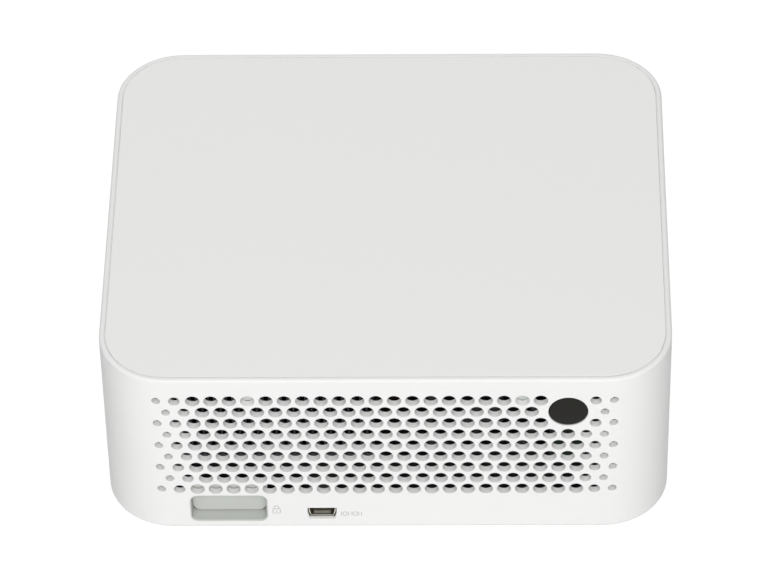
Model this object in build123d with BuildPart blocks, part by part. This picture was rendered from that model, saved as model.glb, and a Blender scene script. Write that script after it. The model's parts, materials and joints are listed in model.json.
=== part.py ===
from build123d import *
import os
from math import floor, hypot, sqrt

# A compact home projector with a slim disc drive built in under its optics.
# Millimetres. +X runs along the longest side, +Z up, and the origin is at the
# middle of the footprint on the surface that the rubber feet stand on.
# The vented rear face looks along -Y; the lens and the disc tray look along +Y.

# ------------------------------------------------------------------ sizes
# clearances
snug = 0.05            # shaft in its bearing, pin in its seat, all round
slide_gap = 0.3        # between parts that slide or turn past each other
seam_gap = 0.25        # between fixed covers and the wall round them
panel_gap = 0.15       # between the top panel and the rim round it

# shell
wall = 2.4
corner_radius = 19.0
top_round = 0.8
bottom_round = 1.6
rim_width = 1.5        # visible edge of the shell round the top panel
ledge_width = 4.5      # step under the top panel, measured in from the rim
ledge_thick = 1.6
panel_thick = 1.8
post_radius = 3.6      # screw posts in the four corners
post_inset = 3.2       # from the inner corner curve to the post's axis

# disc drive, which sets the body's width and depth
disc_diameter = 120.0
recess_margin = 0.4    # disc edge to the wall of its recess
recess_depth = 1.6
tray_side = 2.0        # recess wall to the tray's side
tray_end = 1.0         # recess wall to the tray's front and rear ends
tray_skin = 2.0        # thickness of the tray's skirt
floor_thick = 1.6      # tray floor under the disc
tray_height = 8.6
drive_height = 12.7
sheet = 0.8            # steel of the drive's case
rail_thick = 1.6
rail_height = 4.6
side_bay = 12.2        # drive case to the shell's side wall
rear_bay = 8.3         # drive case to the shell's rear wall
front_bay = 1.1        # drive case to the shell's front wall

# heights from the table upwards
foot_stand = 0.6
cover_recess = 1.5
cover_thick = 2.2
under_drive = 3.7
deck_gap = 0.5
deck_thick = 1.5
upper_bay = 35.5

# vent field in the rear wall, a hexagonal lattice of round holes
hole_pitch = 5.092
hole_radius = 1.97
edge_hole_radius = 1.2     # outermost column
near_hole_radius = 1.58    # column beside it
first_row_drop = 8.1       # top of the shell to the first row
field_side = 16.3          # side of the body to the outermost hole
field_bottom = 15.1        # shell's lower edge to the lowest row's limit
field_margin = 2.3         # hole edge to the edge of the field, at the sides
field_lip = 0.35           # the same above and below
vent_rows_front = 6
front_field_end = 10.0     # front vents stop short of the lens here

# infrared window, in the lattice place third from the right in row two
window_radius = 5.5
window_flange = 0.9

# pocket and service socket at the foot of the rear wall
pocket_x = -44.9
pocket_low = 3.8
pocket_width = 21.9
pocket_height = 10.15
pocket_corner = 1.8
pocket_depth = 4.7
pocket_wall = 0.6
service_x = -18.5
service_low = 4.37
service_width = 8.24
service_height = 4.46
service_recess = 1.5
service_length = 8.0

# side sockets and the board that carries them
board_thick = 1.6
board_stand = 2.3
socket_reveal = 0.4        # socket mouth behind the outer face of the wall
dc_y, hdmi_y, usb_a_y, usb_c_y, audio_y = -27.0, -10.0, 8.0, 22.0, 34.0

# push buttons in the right wall
button_z_rise = 15.0       # above the deck
power_y, source_y, volume_y = -30.0, -16.0, 4.0
button_travel = 0.5
button_radius = 4.0
rocker_length = 16.0
rocker_width = 6.0

# optics
lens_x = 36.0
lens_opening = 15.0
lens_flange = 16.5
ring_radius = 12.3
barrel_radius = 10.0
barrel_length = 28.0
focus_travel = 1.5
engine_width = 32.0
engine_depth = 34.0
engine_height = 26.0
engine_skin = 2.0
engine_stand = 4.0

# cooling
blower_side = 60.0
blower_thick = 15.0
blower_rise = 14.3         # deck to the underside of the blower
rotor_radius = 22.0
fin_count = 38
fin_pitch = 1.7
fin_thick = 0.4
fin_depth = 24.0
fin_height = 30.6
fin_inset = 1.2            # left end of the fins inside the blower's left side
pipe_radius = 2.5
pipe_bend = 8.0
fan_side = 30.0
fan_depth = 10.0
fan_x = 27.0

# ------------------------------------------------------- derived positions
shell_bottom = foot_stand
cover_bottom = shell_bottom + cover_recess
cover_top = cover_bottom + cover_thick
drive_bottom = cover_top + under_drive
drive_top = drive_bottom + drive_height
deck_bottom = drive_top + deck_gap
deck_top = deck_bottom + deck_thick
panel_bottom = deck_top + upper_bay
body_top = panel_bottom + panel_thick
ledge_bottom = panel_bottom - ledge_thick
shell_height = body_top - shell_bottom

recess_radius = disc_diameter / 2 + recess_margin
tray_half = recess_radius + tray_side
tray_length = 2 * (recess_radius + tray_end)
rail_inner = tray_half + slide_gap
rail_outer = rail_inner + rail_thick
case_half = rail_outer + slide_gap + sheet
case_length = tray_length
body_width = 2 * (case_half + side_bay + wall)
body_depth = case_length + rear_bay + front_bay + 2 * wall

half_x = body_width / 2
half_y = body_depth / 2
inner_x = half_x - wall
inner_y = half_y - wall
inner_corner = corner_radius - wall

case_front = inner_y - front_bay
case_rear = case_front - case_length
tray_front = inner_y
tray_rear = tray_front - tray_length
disc_y = tray_front - tray_end - recess_radius
tray_bottom = drive_bottom + sheet + 1.2
tray_top = tray_bottom + tray_height
recess_floor = tray_top - recess_depth
plate_bottom = recess_floor - floor_thick

post_reach = (inner_corner - post_inset) / sqrt(2)
post_x = half_x - corner_radius + post_reach
post_y = half_y - corner_radius + post_reach
post_spots = [(sx * post_x, sy * post_y) for sx in (-1, 1) for sy in (-1, 1)]


# ----------------------------------------------------------------- helpers
def wall_band(low, high):
    """The side wall of the body between two heights, as a closed ring."""
    with BuildPart() as band:
        with BuildSketch(Plane.XY.offset(low)):
            RectangleRounded(body_width, body_depth, corner_radius)
            RectangleRounded(2 * inner_x, 2 * inner_y, inner_corner, mode=Mode.SUBTRACT)
        extrude(amount=high - low)
    return band.part


def block(x_range, y_range, z_range):
    """A plain box between two corners, kept apart from any open builder."""
    size = [span[1] - span[0] for span in (x_range, y_range, z_range)]
    middle = [(span[1] + span[0]) / 2 for span in (x_range, y_range, z_range)]
    return Pos(*middle) * Box(*size, mode=Mode.PRIVATE)


def rod(start, end, radius):
    """A round bar between two points, kept apart from any open builder."""
    span = Vector(*end) - Vector(*start)
    plane = Plane(origin=start, z_dir=span)
    bottom = (Align.CENTER, Align.CENTER, Align.MIN)
    return plane * Cylinder(radius, span.length, align=bottom, mode=Mode.PRIVATE)


# -------------------------------------------------------------- vent lattice
row_pitch = hole_pitch * sqrt(3) / 2
first_row_z = body_top - first_row_drop
row_count = floor((first_row_z - shell_bottom - field_bottom) / row_pitch) + 1
last_row_z = first_row_z - (row_count - 1) * row_pitch
column_count = floor((body_width - 2 * field_side) / hole_pitch) + 1
window_z = first_row_z - row_pitch
window_x = ((column_count - 2) / 2 - 2) * hole_pitch
window_keepout = window_radius + hole_radius + 0.4


def lattice(rows, end=None):
    """Hole centres and radii, row by row; odd rows hold one hole fewer."""
    holes = []
    for row in range(rows):
        columns = column_count - row % 2
        for column in range(columns):
            x = (column - (columns - 1) / 2) * hole_pitch
            z = first_row_z - row * row_pitch
            from_edge = min(column, columns - 1 - column)
            radius = (edge_hole_radius, near_hole_radius)[from_edge] if from_edge < 2 else hole_radius
            if end is None or x <= end:
                holes.append((x, z, radius))
    return holes


rear_holes = [
    hole for hole in lattice(row_count)
    if hypot(hole[0] - window_x, hole[1] - window_z) > window_keepout
]
front_holes = lattice(vent_rows_front, end=front_field_end)

outer_hole_x = (column_count - 1) / 2 * hole_pitch
field_half = outer_hole_x + field_margin
field_top = first_row_z + hole_radius + field_lip
field_low = last_row_z - hole_radius - field_lip
front_low = first_row_z - (vent_rows_front - 1) * row_pitch - hole_radius - field_lip
front_end = front_field_end + hole_radius + field_lip
field_thick = corner_radius / 3

# ribs inside the rear wall, and the panel hooks that show through two holes
rib_width = 1.3
rib_depth = 3.0
rib_x = (-39.5, 4.5)
hook_width = 5.2
hook_thick = 1.6
hook_drop = 8.4
rib_top = panel_bottom - hook_drop - slide_gap
hook_side = hole_pitch * 7.5
hook_y = inner_y - 0.1 - hook_thick / 2
hook_x = inner_x - 0.1 - hook_thick / 2
hook_past_lens = lens_x + lens_flange + 1.0 + hook_width / 2
end_hooks = [(-hook_side, -hook_y), (hook_side, -hook_y), (-hook_side, hook_y), (hook_past_lens, hook_y)]
side_hooks = [(sx * hook_x, sy * 30.0) for sx in (-1, 1) for sy in (-1, 1)]

# sockets: centre height above the board, opening width and height
board_low = deck_top + board_stand
board_top = board_low + board_thick
socket_mouth = -half_x + socket_reveal
socket_play = 0.3

bezel_low = drive_bottom + 0.6
bezel_high = drive_top - 0.5
bezel_half = rail_outer + 0.1
bezel_z = (bezel_low + bezel_high) / 2

lens_z = deck_top + (ledge_bottom - deck_top) / 2
button_z = deck_top + button_z_rise
button_hole = button_radius + seam_gap

dc_size = (9.0, 9.5, 12.5)       # along Y, along Z, depth
hdmi_size = (15.0, 5.6, 11.5)
usb_a_size = (13.2, 5.8, 13.0)
usb_c_size = (9.0, 3.2, 7.5)
audio_size = (6.5, 5.2, 12.0)

# ------------------------------------------------------------------- shell
with BuildPart() as body_shell:
    with BuildSketch(Plane.XY.offset(shell_bottom)):
        RectangleRounded(body_width, body_depth, corner_radius)
    extrude(amount=shell_height)
    fillet(body_shell.edges().group_by(Axis.Z)[-1], radius=top_round)
    fillet(body_shell.edges().group_by(Axis.Z)[0], radius=bottom_round)
    # the cavity, the opening in the ledge and the seat of the top panel
    with BuildSketch(Plane.XY.offset(shell_bottom)):
        RectangleRounded(2 * inner_x, 2 * inner_y, inner_corner)
    extrude(amount=ledge_bottom - shell_bottom, mode=Mode.SUBTRACT)
    ledge_in = rim_width + ledge_width
    with BuildSketch(Plane.XY.offset(ledge_bottom)):
        RectangleRounded(body_width - 2 * ledge_in, body_depth - 2 * ledge_in, corner_radius - ledge_in)
    extrude(amount=ledge_thick, mode=Mode.SUBTRACT)
    with BuildSketch(Plane.XY.offset(panel_bottom)):
        RectangleRounded(body_width - 2 * rim_width, body_depth - 2 * rim_width, corner_radius - rim_width)
    extrude(amount=panel_thick, mode=Mode.SUBTRACT)
    # notches in the ledge for the panel's hooks
    with BuildSketch(Plane.XY.offset(ledge_bottom)):
        with Locations(*end_hooks):
            Rectangle(hook_width + 2 * slide_gap, hook_thick + 2 * slide_gap)
        with Locations(*side_hooks):
            Rectangle(hook_thick + 2 * slide_gap, hook_width + 2 * slide_gap)
    extrude(amount=ledge_thick, mode=Mode.SUBTRACT)
    # corner posts, bored right through for the cover's and the deck's screws
    with BuildSketch(Plane.XY.offset(cover_top)):
        with Locations(*post_spots):
            Circle(post_radius)
            Circle(1.3, mode=Mode.SUBTRACT)
    extrude(amount=deck_bottom - cover_top)
    # rear wall: vent field, pocket and service socket
    with BuildSketch(Plane.XZ.offset(half_y)):
        with Locations((0, (field_low + field_top) / 2)):
            Rectangle(2 * field_half, field_top - field_low)
        with Locations((pocket_x, pocket_low + pocket_height / 2)):
            RectangleRounded(pocket_width, pocket_height, pocket_corner)
        with BuildLine():
            Polyline(
                (service_x - service_width / 2, service_low + service_height),
                (service_x + service_width / 2, service_low + service_height),
                (service_x + service_width / 2, service_low + service_height / 2),
                (service_x + service_width / 2 - 0.5, service_low),
                (service_x - service_width / 2 + 0.5, service_low),
                (service_x - service_width / 2, service_low + service_height / 2),
                close=True,
            )
        make_face()
    extrude(amount=-field_thick, mode=Mode.SUBTRACT)
    # front wall: vent field, tray opening and lens opening
    with BuildSketch(Plane.XZ.offset(-half_y)):
        with Locations(((front_end - field_half) / 2, (front_low + field_top) / 2)):
            Rectangle(front_end + field_half, field_top - front_low)
        with Locations((0, bezel_z)):
            Rectangle(2 * (bezel_half + slide_gap), bezel_high - bezel_low + 2 * slide_gap)
        with Locations((lens_x, lens_z)):
            Circle(lens_opening)
    extrude(amount=field_thick, mode=Mode.SUBTRACT)
    # left wall: sockets
    with BuildSketch(Plane.YZ.offset(-half_x)):
        with Locations((dc_y, board_top + dc_size[1] / 2)):
            Circle(4.0)
        for y, size in ((hdmi_y, hdmi_size), (usb_a_y, usb_a_size)):
            with Locations((y, board_top + size[1] / 2)):
                Rectangle(size[0] + 2 * socket_play, size[1] + 2 * socket_play)
        with Locations((usb_c_y, board_top + usb_c_size[1] / 2)):
            RectangleRounded(usb_c_size[0] + 2 * socket_play, usb_c_size[1] + 2 * socket_play, 1.85)
        with Locations((audio_y, board_top + audio_size[1] / 2)):
            Circle(2.8)
    extrude(amount=wall, mode=Mode.SUBTRACT)
    # right wall: buttons
    with BuildSketch(Plane.YZ.offset(half_x)):
        with Locations((power_y, button_z), (source_y, button_z)):
            Circle(button_hole)
        with Locations((volume_y, button_z)):
            RectangleRounded(rocker_length + 2 * slide_gap, rocker_width + 2 * slide_gap, rocker_width / 2)
    extrude(amount=-wall, mode=Mode.SUBTRACT)

# the perforated wall of the rear, with the ribs that stiffen it inside
with BuildPart() as rear_grille:
    with BuildSketch(Plane.XZ.offset(half_y)):
        with Locations((0, (field_low + field_top) / 2)):
            Rectangle(2 * field_half, field_top - field_low)
        for x, z, radius in rear_holes:
            with Locations((x, z)):
                Circle(radius, mode=Mode.SUBTRACT)
        with Locations((window_x, window_z)):
            Circle(window_radius + snug, mode=Mode.SUBTRACT)
    extrude(amount=-field_thick)
    add(wall_band(field_low, field_top), mode=Mode.INTERSECT)
    with BuildSketch(Plane.XZ.offset(inner_y)):
        with Locations(*[(x, field_low) for x in rib_x]):
            Rectangle(rib_width, rib_top - field_low, align=(Align.CENTER, Align.MIN))
    extrude(amount=-rib_depth)

# the perforated wall beside the lens
with BuildPart() as front_grille:
    with BuildSketch(Plane.XZ.offset(-half_y)):
        with Locations(((front_end - field_half) / 2, (front_low + field_top) / 2)):
            Rectangle(front_end + field_half, field_top - front_low)
        for x, z, radius in front_holes:
            with Locations((x, z)):
                Circle(radius, mode=Mode.SUBTRACT)
    extrude(amount=field_thick)
    add(wall_band(front_low, field_top), mode=Mode.INTERSECT)

# ------------------------------------------------------------- top and base
with BuildPart() as top_panel:
    panel_inset = rim_width + panel_gap
    with BuildSketch(Plane.XY.offset(panel_bottom)):
        RectangleRounded(
            body_width - 2 * panel_inset, body_depth - 2 * panel_inset, corner_radius - panel_inset
        )
    extrude(amount=panel_thick)
    fillet(top_panel.edges().group_by(Axis.Z)[-1], radius=0.3)
    with BuildSketch(Plane.XY.offset(panel_bottom)):
        with Locations(*end_hooks):
            Rectangle(hook_width, hook_thick)
        with Locations(*side_hooks):
            Rectangle(hook_thick, hook_width)
    extrude(amount=-hook_drop)

foot_radius = 7.0
foot_seat = 0.4
foot_spots = [(sx * (post_x - 12), sy * (post_y - 10)) for sx in (-1, 1) for sy in (-1, 1)]
insert_radius = 4.6
thread_radius = 3.175      # quarter-inch tripod thread
insert_top = drive_bottom - 0.4
head_radius = 2.4
head_height = 1.2
shank_radius = 1.25
shank_length = 8.0
head_sink = 0.2
service_floor = service_low + 0.28
stand_spots = [(sx * (case_half - 12), sy * 40.0) for sx in (-1, 1) for sy in (-1, 1)]

with BuildPart() as bottom_cover:
    with BuildSketch(Plane.XY.offset(cover_bottom)):
        RectangleRounded(2 * (inner_x - seam_gap), 2 * (inner_y - seam_gap), inner_corner - seam_gap)
    extrude(amount=cover_thick)
    # stands under the drive, the boss of the tripod insert, the socket's pad
    with BuildSketch(Plane.XY.offset(cover_top)):
        with Locations(*stand_spots):
            Circle(4.0)
    extrude(amount=drive_bottom - cover_top)
    with BuildSketch(Plane.XY.offset(cover_top)):
        Circle(insert_radius + 2.2)
    extrude(amount=insert_top - cover_top)
    with BuildSketch(Plane.XY.offset(cover_top)):
        with Locations((service_x, -inner_y + service_length / 2 + 0.4)):
            Rectangle(service_width - 2.4, service_length - 1.6)
    extrude(amount=service_floor - cover_top)
    with BuildSketch(Plane.XY.offset(cover_bottom)):
        Circle(insert_radius)
        with Locations(*post_spots):
            Circle(shank_radius + snug)
    extrude(amount=insert_top - cover_bottom, mode=Mode.SUBTRACT)
    with BuildSketch(Plane.XY.offset(cover_bottom)):
        with Locations(*foot_spots):
            Circle(foot_radius + seam_gap)
    extrude(amount=foot_seat, mode=Mode.SUBTRACT)
    with BuildSketch(Plane.XY.offset(cover_bottom)):
        with Locations(*post_spots):
            Circle(head_radius + seam_gap)
    extrude(amount=head_sink + head_height, mode=Mode.SUBTRACT)
    # a step that clears the pocket in the rear wall
    with BuildSketch(Plane.XY.offset(pocket_low - slide_gap)):
        with Locations((pocket_x, -half_y)):
            Rectangle(
                pocket_width + 2 * slide_gap, pocket_depth + pocket_wall + slide_gap,
                align=(Align.CENTER, Align.MIN),
            )
    extrude(amount=cover_top - pocket_low + slide_gap, mode=Mode.SUBTRACT)

with BuildPart() as rubber_feet:
    with BuildSketch(Plane.XY):
        with Locations(*foot_spots):
            Circle(foot_radius)
    extrude(amount=cover_bottom + foot_seat)
    fillet(rubber_feet.edges().group_by(Axis.Z)[0], radius=0.5)

with BuildPart() as tripod_insert:
    with BuildSketch(Plane.XY.offset(cover_bottom)):
        Circle(insert_radius)
        Circle(thread_radius, mode=Mode.SUBTRACT)
    extrude(amount=insert_top - cover_bottom)

# eight identical screws: four hold the cover from below, four the deck
with BuildPart() as chassis_screws:
    cover_seat = cover_bottom + head_sink + head_height
    for x, y in post_spots:
        add(rod((x, y, cover_seat - head_height), (x, y, cover_seat), head_radius))
        add(rod((x, y, cover_seat), (x, y, cover_seat + shank_length), shank_radius))
        add(rod((x, y, deck_top), (x, y, deck_top + head_height), head_radius))
        add(rod((x, y, deck_top - shank_length), (x, y, deck_top), shank_radius))
        for z, turn in ((cover_seat - head_height, 1), (deck_top + head_height, -1)):
            cross = sorted((z, z + turn * 0.6))
            add(block((x - 1.5, x + 1.5), (y - 0.3, y + 0.3), cross), mode=Mode.SUBTRACT)
            add(block((x - 0.3, x + 0.3), (y - 1.5, y + 1.5), cross), mode=Mode.SUBTRACT)

# ----------------------------------------------------------- rear wall parts
with BuildPart() as ir_window:
    with BuildSketch(Plane.XZ.offset(half_y - 0.15)):
        with Locations((window_x, window_z)):
            Circle(window_radius)
    extrude(amount=-(wall - 0.15))
    with BuildSketch(Plane.XZ.offset(inner_y)):
        with Locations((window_x, window_z)):
            Circle(window_radius + 0.8)
    extrude(amount=-window_flange)

sensor_y = -inner_y + rib_depth + 0.7
with BuildPart() as ir_sensor_board:
    add(block((window_x - 5, window_x + 5), (sensor_y, sensor_y + 1.0), (deck_top, window_z + 4)))
    receiver_front = -inner_y + window_flange + slide_gap
    add(block((window_x - 2.7, window_x + 2.7), (receiver_front + 0.8, sensor_y),
              (window_z - 2.5, window_z + 3)))
    add(rod((window_x, receiver_front, window_z), (window_x, receiver_front + 0.8, window_z), 2.2))

with BuildPart() as rear_pocket:
    with BuildSketch(Plane.XZ.offset(half_y - 0.1)):
        with Locations((pocket_x, pocket_low + pocket_height / 2)):
            RectangleRounded(pocket_width - 2 * snug, pocket_height - 2 * snug, pocket_corner - snug)
    extrude(amount=-(pocket_depth + pocket_wall))
    with BuildSketch(Plane.XZ.offset(half_y - 0.1)):
        with Locations((pocket_x, pocket_low + pocket_height / 2)):
            RectangleRounded(
                pocket_width - 2 * pocket_wall, pocket_height - 2 * pocket_wall, pocket_corner - pocket_wall
            )
    extrude(amount=-pocket_depth, mode=Mode.SUBTRACT)

service_front = -half_y + service_recess
service_tall = 3.9
service_wide = 7.7
service_skin = 0.3


def service_profile(inset):
    """Six-sided mouth of the small service socket, wide above and narrow below."""
    upper = service_wide / 2 - inset
    lower = upper - 0.6
    top = service_floor + service_tall - inset
    knee = service_floor + service_tall * 0.45
    bottom = service_floor + inset
    return [
        (service_x - upper, top), (service_x + upper, top), (service_x + upper, knee),
        (service_x + lower, bottom), (service_x - lower, bottom), (service_x - upper, knee),
    ]


with BuildPart() as service_port_shell:
    with BuildSketch(Plane.XZ.offset(-service_front)):
        with BuildLine():
            Polyline(*service_profile(0), close=True)
        make_face()
    extrude(amount=-service_length)
    with BuildSketch(Plane.XZ.offset(-service_front)):
        with BuildLine():
            Polyline(*service_profile(service_skin), close=True)
        make_face()
    extrude(amount=-service_length, mode=Mode.SUBTRACT)

with BuildPart() as service_port_tongue:
    service_back = service_front + service_length
    with BuildSketch(Plane.XZ.offset(-service_back)):
        with BuildLine():
            Polyline(*service_profile(service_skin), close=True)
        make_face()
    extrude(amount=2.0)
    tongue_mid = service_floor + service_tall * 0.52
    add(block((service_x - 2.3, service_x + 2.3), (service_front + 0.5, service_back),
              (tongue_mid - 0.45, tongue_mid + 0.45)))

# --------------------------------------------------------------------- deck
deck_rear = -inner_y + rib_depth + 0.6
engine_x = lens_x
engine_front = inner_y - 30.1
engine_rear = engine_front - engine_depth
engine_low = deck_top + engine_stand
engine_high = engine_low + engine_height
blower_left = -inner_x + 9.6
blower_right = blower_left + blower_side
fin_rear = deck_rear + 0.5
fin_front = fin_rear + fin_depth
blower_rear = fin_front + 1.0
blower_front = blower_rear + blower_side
blower_low = deck_top + blower_rise
blower_high = blower_low + blower_thick
blower_x = (blower_left + blower_right) / 2
blower_y = (blower_rear + blower_front) / 2
blower_posts = [
    (blower_right - 3.5, blower_rear + 3.5), (blower_right - 3.5, blower_front - 3.5),
    (blower_left + 3.5, blower_front - 3.5),
]
board_left = -inner_x + 1.0
board_right = 8.0
board_rear = fin_front + 3.0
board_front = inner_y - 16.0
board_posts = [
    (board_left + 14, board_rear + 4), (board_right - 4, board_rear + 4),
    (board_left + 14, board_front - 4), (board_right - 4, board_front - 4),
]

with BuildPart() as mid_deck:
    with BuildSketch(Plane.XY.offset(deck_bottom)):
        RectangleRounded(2 * (inner_x - slide_gap), 2 * (inner_y - slide_gap), inner_corner - slide_gap)
        with Locations((0, deck_rear)):
            Rectangle(body_width, body_depth, align=(Align.CENTER, Align.MAX), mode=Mode.SUBTRACT)
        with Locations(*post_spots):
            Circle(shank_radius + snug, mode=Mode.SUBTRACT)
    extrude(amount=deck_thick)
    with BuildSketch(Plane.XY.offset(deck_top)):
        with Locations(*board_posts):
            Circle(2.6)
    extrude(amount=board_stand)
    with BuildSketch(Plane.XY.offset(deck_top)):
        with Locations(*blower_posts):
            Circle(2.5)
    extrude(amount=blower_rise)

# --------------------------------------------------------------- main board
with BuildPart() as main_board:
    with BuildSketch(Plane.XY.offset(board_low)):
        with Locations(((board_left + board_right) / 2, (board_rear + board_front) / 2)):
            RectangleRounded(board_right - board_left, board_front - board_rear, 1.5)
        with Locations(*blower_posts):
            Circle(3.3, mode=Mode.SUBTRACT)
    extrude(amount=board_thick)
    # the processor under its shield, memory and power parts
    chips = ((-30, 6, 16, 16, 3.0), (-8, 8, 10, 12, 1.2), (-8, -8, 10, 12, 1.2), (-48, -16, 9, 9, 4.5))
    for x, y, width, depth, tall in chips:
        add(block((x - width / 2, x + width / 2), (y - depth / 2, y + depth / 2),
                  (board_top, board_top + tall)))
    for y in (-22, -12, 24, 34):
        add(rod((-22, y, board_top), (-22, y, board_top + 7.5), 3.1))


def socket_block(centre_y, size):
    """The plain body of a side socket, standing on the board at the wall."""
    across = (centre_y - size[0] / 2, centre_y + size[0] / 2)
    return block((socket_mouth, socket_mouth + size[2]), across, (board_top, board_top + size[1]))


def mouth(centre_y, size, skin, depth):
    """The hollow in a side socket's front."""
    across = (centre_y - size[0] / 2 + skin, centre_y + size[0] / 2 - skin)
    upright = (board_top + skin, board_top + size[1] - skin)
    return block((socket_mouth, socket_mouth + depth), across, upright)


def tongue(centre_y, size, width, thick, depth):
    """The contact tongue that stands in a side socket."""
    middle = board_top + size[1] / 2
    across = (centre_y - width / 2, centre_y + width / 2)
    upright = (middle - thick / 2, middle + thick / 2)
    return block((socket_mouth + 0.8, socket_mouth + depth), across, upright)


with BuildPart() as dc_jack:
    dc_mid = board_top + dc_size[1] / 2
    add(block((-inner_x + slide_gap, socket_mouth + dc_size[2]),
              (dc_y - dc_size[0] / 2, dc_y + dc_size[0] / 2), (board_top, board_top + dc_size[1])))
    add(rod((socket_mouth, dc_y, dc_mid), (-inner_x + slide_gap, dc_y, dc_mid), 3.7))
    add(rod((socket_mouth, dc_y, dc_mid), (socket_mouth + 9.5, dc_y, dc_mid), 2.75), mode=Mode.SUBTRACT)
    add(rod((socket_mouth + 1.0, dc_y, dc_mid), (socket_mouth + 10.0, dc_y, dc_mid), 1.0))

with BuildPart() as hdmi_port:
    add(socket_block(hdmi_y, hdmi_size))
    add(mouth(hdmi_y, hdmi_size, 0.5, 9.5), mode=Mode.SUBTRACT)
    add(tongue(hdmi_y, hdmi_size, 11.0, 1.1, 10.0))

with BuildPart() as usb_a_port:
    add(socket_block(usb_a_y, usb_a_size))
    add(mouth(usb_a_y, usb_a_size, 0.4, 11.0), mode=Mode.SUBTRACT)
    upper_middle = board_top + usb_a_size[1] / 2 + 1.0
    add(block((socket_mouth + 0.8, socket_mouth + 11.5), (usb_a_y - 5.2, usb_a_y + 5.2),
              (upper_middle - 0.9, upper_middle + 0.9)))

with BuildPart() as usb_c_port:
    add(socket_block(usb_c_y, usb_c_size))
    fillet(usb_c_port.edges().filter_by(Axis.X), radius=1.4)
    with BuildSketch(Plane.YZ.offset(socket_mouth)):
        with Locations((usb_c_y, board_top + usb_c_size[1] / 2)):
            RectangleRounded(usb_c_size[0] - 0.7, usb_c_size[1] - 0.7, 1.1)
    extrude(amount=6.0, mode=Mode.SUBTRACT)
    add(tongue(usb_c_y, usb_c_size, 6.6, 0.7, 6.5))

jack_bore = 1.8
with BuildPart() as audio_jack:
    audio_mid = board_top + audio_size[1] / 2
    add(block((-inner_x + slide_gap, socket_mouth + audio_size[2]),
              (audio_y - audio_size[0] / 2, audio_y + audio_size[0] / 2),
              (board_top, board_top + audio_size[1])))
    add(rod((socket_mouth, audio_y, audio_mid), (-inner_x + slide_gap, audio_y, audio_mid), 2.5))
    add(rod((socket_mouth, audio_y, audio_mid), (socket_mouth + 11.0, audio_y, audio_mid), jack_bore),
        mode=Mode.SUBTRACT)

# ------------------------------------------------------------- side buttons
cap_face = half_x - 0.2
flange_out = inner_x - 0.3
flange_in = flange_out - 0.8
switch_face = flange_in - button_travel - 0.2
panel_face = switch_face - 1.2      # outer face of the button board


def round_button(y):
    """A round cap with the flange that keeps it behind the wall."""
    with BuildPart() as cap:
        add(rod((flange_in, y, button_z), (flange_out, y, button_z), button_radius + 1.2))
        add(rod((flange_out, y, button_z), (cap_face, y, button_z), button_radius))
        fillet(cap.edges().group_by(Axis.X)[-1], radius=0.5)
    return cap


power_button = round_button(power_y)
source_button = round_button(source_y)

rocker_flange_out = inner_x - 0.7
rocker_flange_in = rocker_flange_out - 0.7
rocker_face = half_x - 0.7
with BuildPart() as volume_rocker:
    with BuildSketch(Plane.YZ.offset(rocker_flange_in)):
        with Locations((volume_y, button_z)):
            RectangleRounded(rocker_length + 2, rocker_width + 2.4, rocker_width / 2)
    extrude(amount=rocker_flange_out - rocker_flange_in)
    with BuildSketch(Plane.YZ.offset(rocker_flange_out)):
        with Locations((volume_y, button_z)):
            RectangleRounded(rocker_length, rocker_width, rocker_width / 2 - 0.05)
    extrude(amount=rocker_face - rocker_flange_out)
    fillet(volume_rocker.edges().group_by(Axis.X)[-1], radius=0.5)

with BuildPart() as button_board:
    add(block((panel_face - 1.2, panel_face), (power_y - 9, volume_y + 13), (deck_top, button_z + 8)))
    for y in (power_y, source_y):
        add(rod((panel_face, y, button_z), (switch_face, y, button_z), 1.6))
    for y in (volume_y - 6, volume_y + 6):
        add(rod((panel_face, y, button_z), (switch_face - 0.2, y, button_z), 1.6))
    add(block((panel_face, rocker_flange_in - slide_gap), (volume_y - 0.5, volume_y + 0.5),
              (button_z - 3, button_z + 3)))

# ------------------------------------------------------------ optical engine
snout_front = engine_front + 15.1
ring_rear = snout_front + slide_gap
ring_front = half_y - 1.9
barrel_front = half_y - 1.0 - focus_travel
barrel_rear = barrel_front - barrel_length
bore_radius = barrel_radius + slide_gap
led_plate = 1.6
spread_thick = 2.0
engine_left = engine_x - engine_width / 2
engine_right = engine_x + engine_width / 2
led_ports = ((engine_rear + 9, "red"), (engine_front - 9, "blue"))

with BuildPart() as optical_housing:
    add(block((engine_left, engine_right), (engine_rear, engine_front), (engine_low, engine_high)))
    fillet(optical_housing.edges().filter_by(Axis.Z), radius=2.0)
    add(rod((lens_x, engine_front, lens_z), (lens_x, snout_front, lens_z), bore_radius + engine_skin))
    add(block((engine_left + engine_skin, engine_right - engine_skin),
              (engine_rear + engine_skin, engine_front - engine_skin),
              (engine_low + engine_skin, engine_high - engine_skin)), mode=Mode.SUBTRACT)
    add(rod((lens_x, engine_front - engine_skin - 1, lens_z), (lens_x, snout_front, lens_z), bore_radius),
        mode=Mode.SUBTRACT)
    for y, _ in led_ports:
        add(rod((engine_left, y, lens_z), (engine_left + engine_skin, y, lens_z), 3.0),
            mode=Mode.SUBTRACT)
    add(rod((engine_x, engine_rear, lens_z), (engine_x, engine_rear + engine_skin, lens_z), 3.0),
        mode=Mode.SUBTRACT)
    dmd_mid = (engine_rear + engine_front) / 2
    add(block((engine_right - engine_skin, engine_right), (dmd_mid - 5, dmd_mid + 5),
              (lens_z - 4, lens_z + 4)), mode=Mode.SUBTRACT)
    for sx in (-1, 1):
        for y in (engine_rear + 5, engine_front - 5):
            x = engine_x + sx * (engine_width / 2 - 5)
            add(rod((x, y, deck_top), (x, y, engine_low), 3.0))


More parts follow.
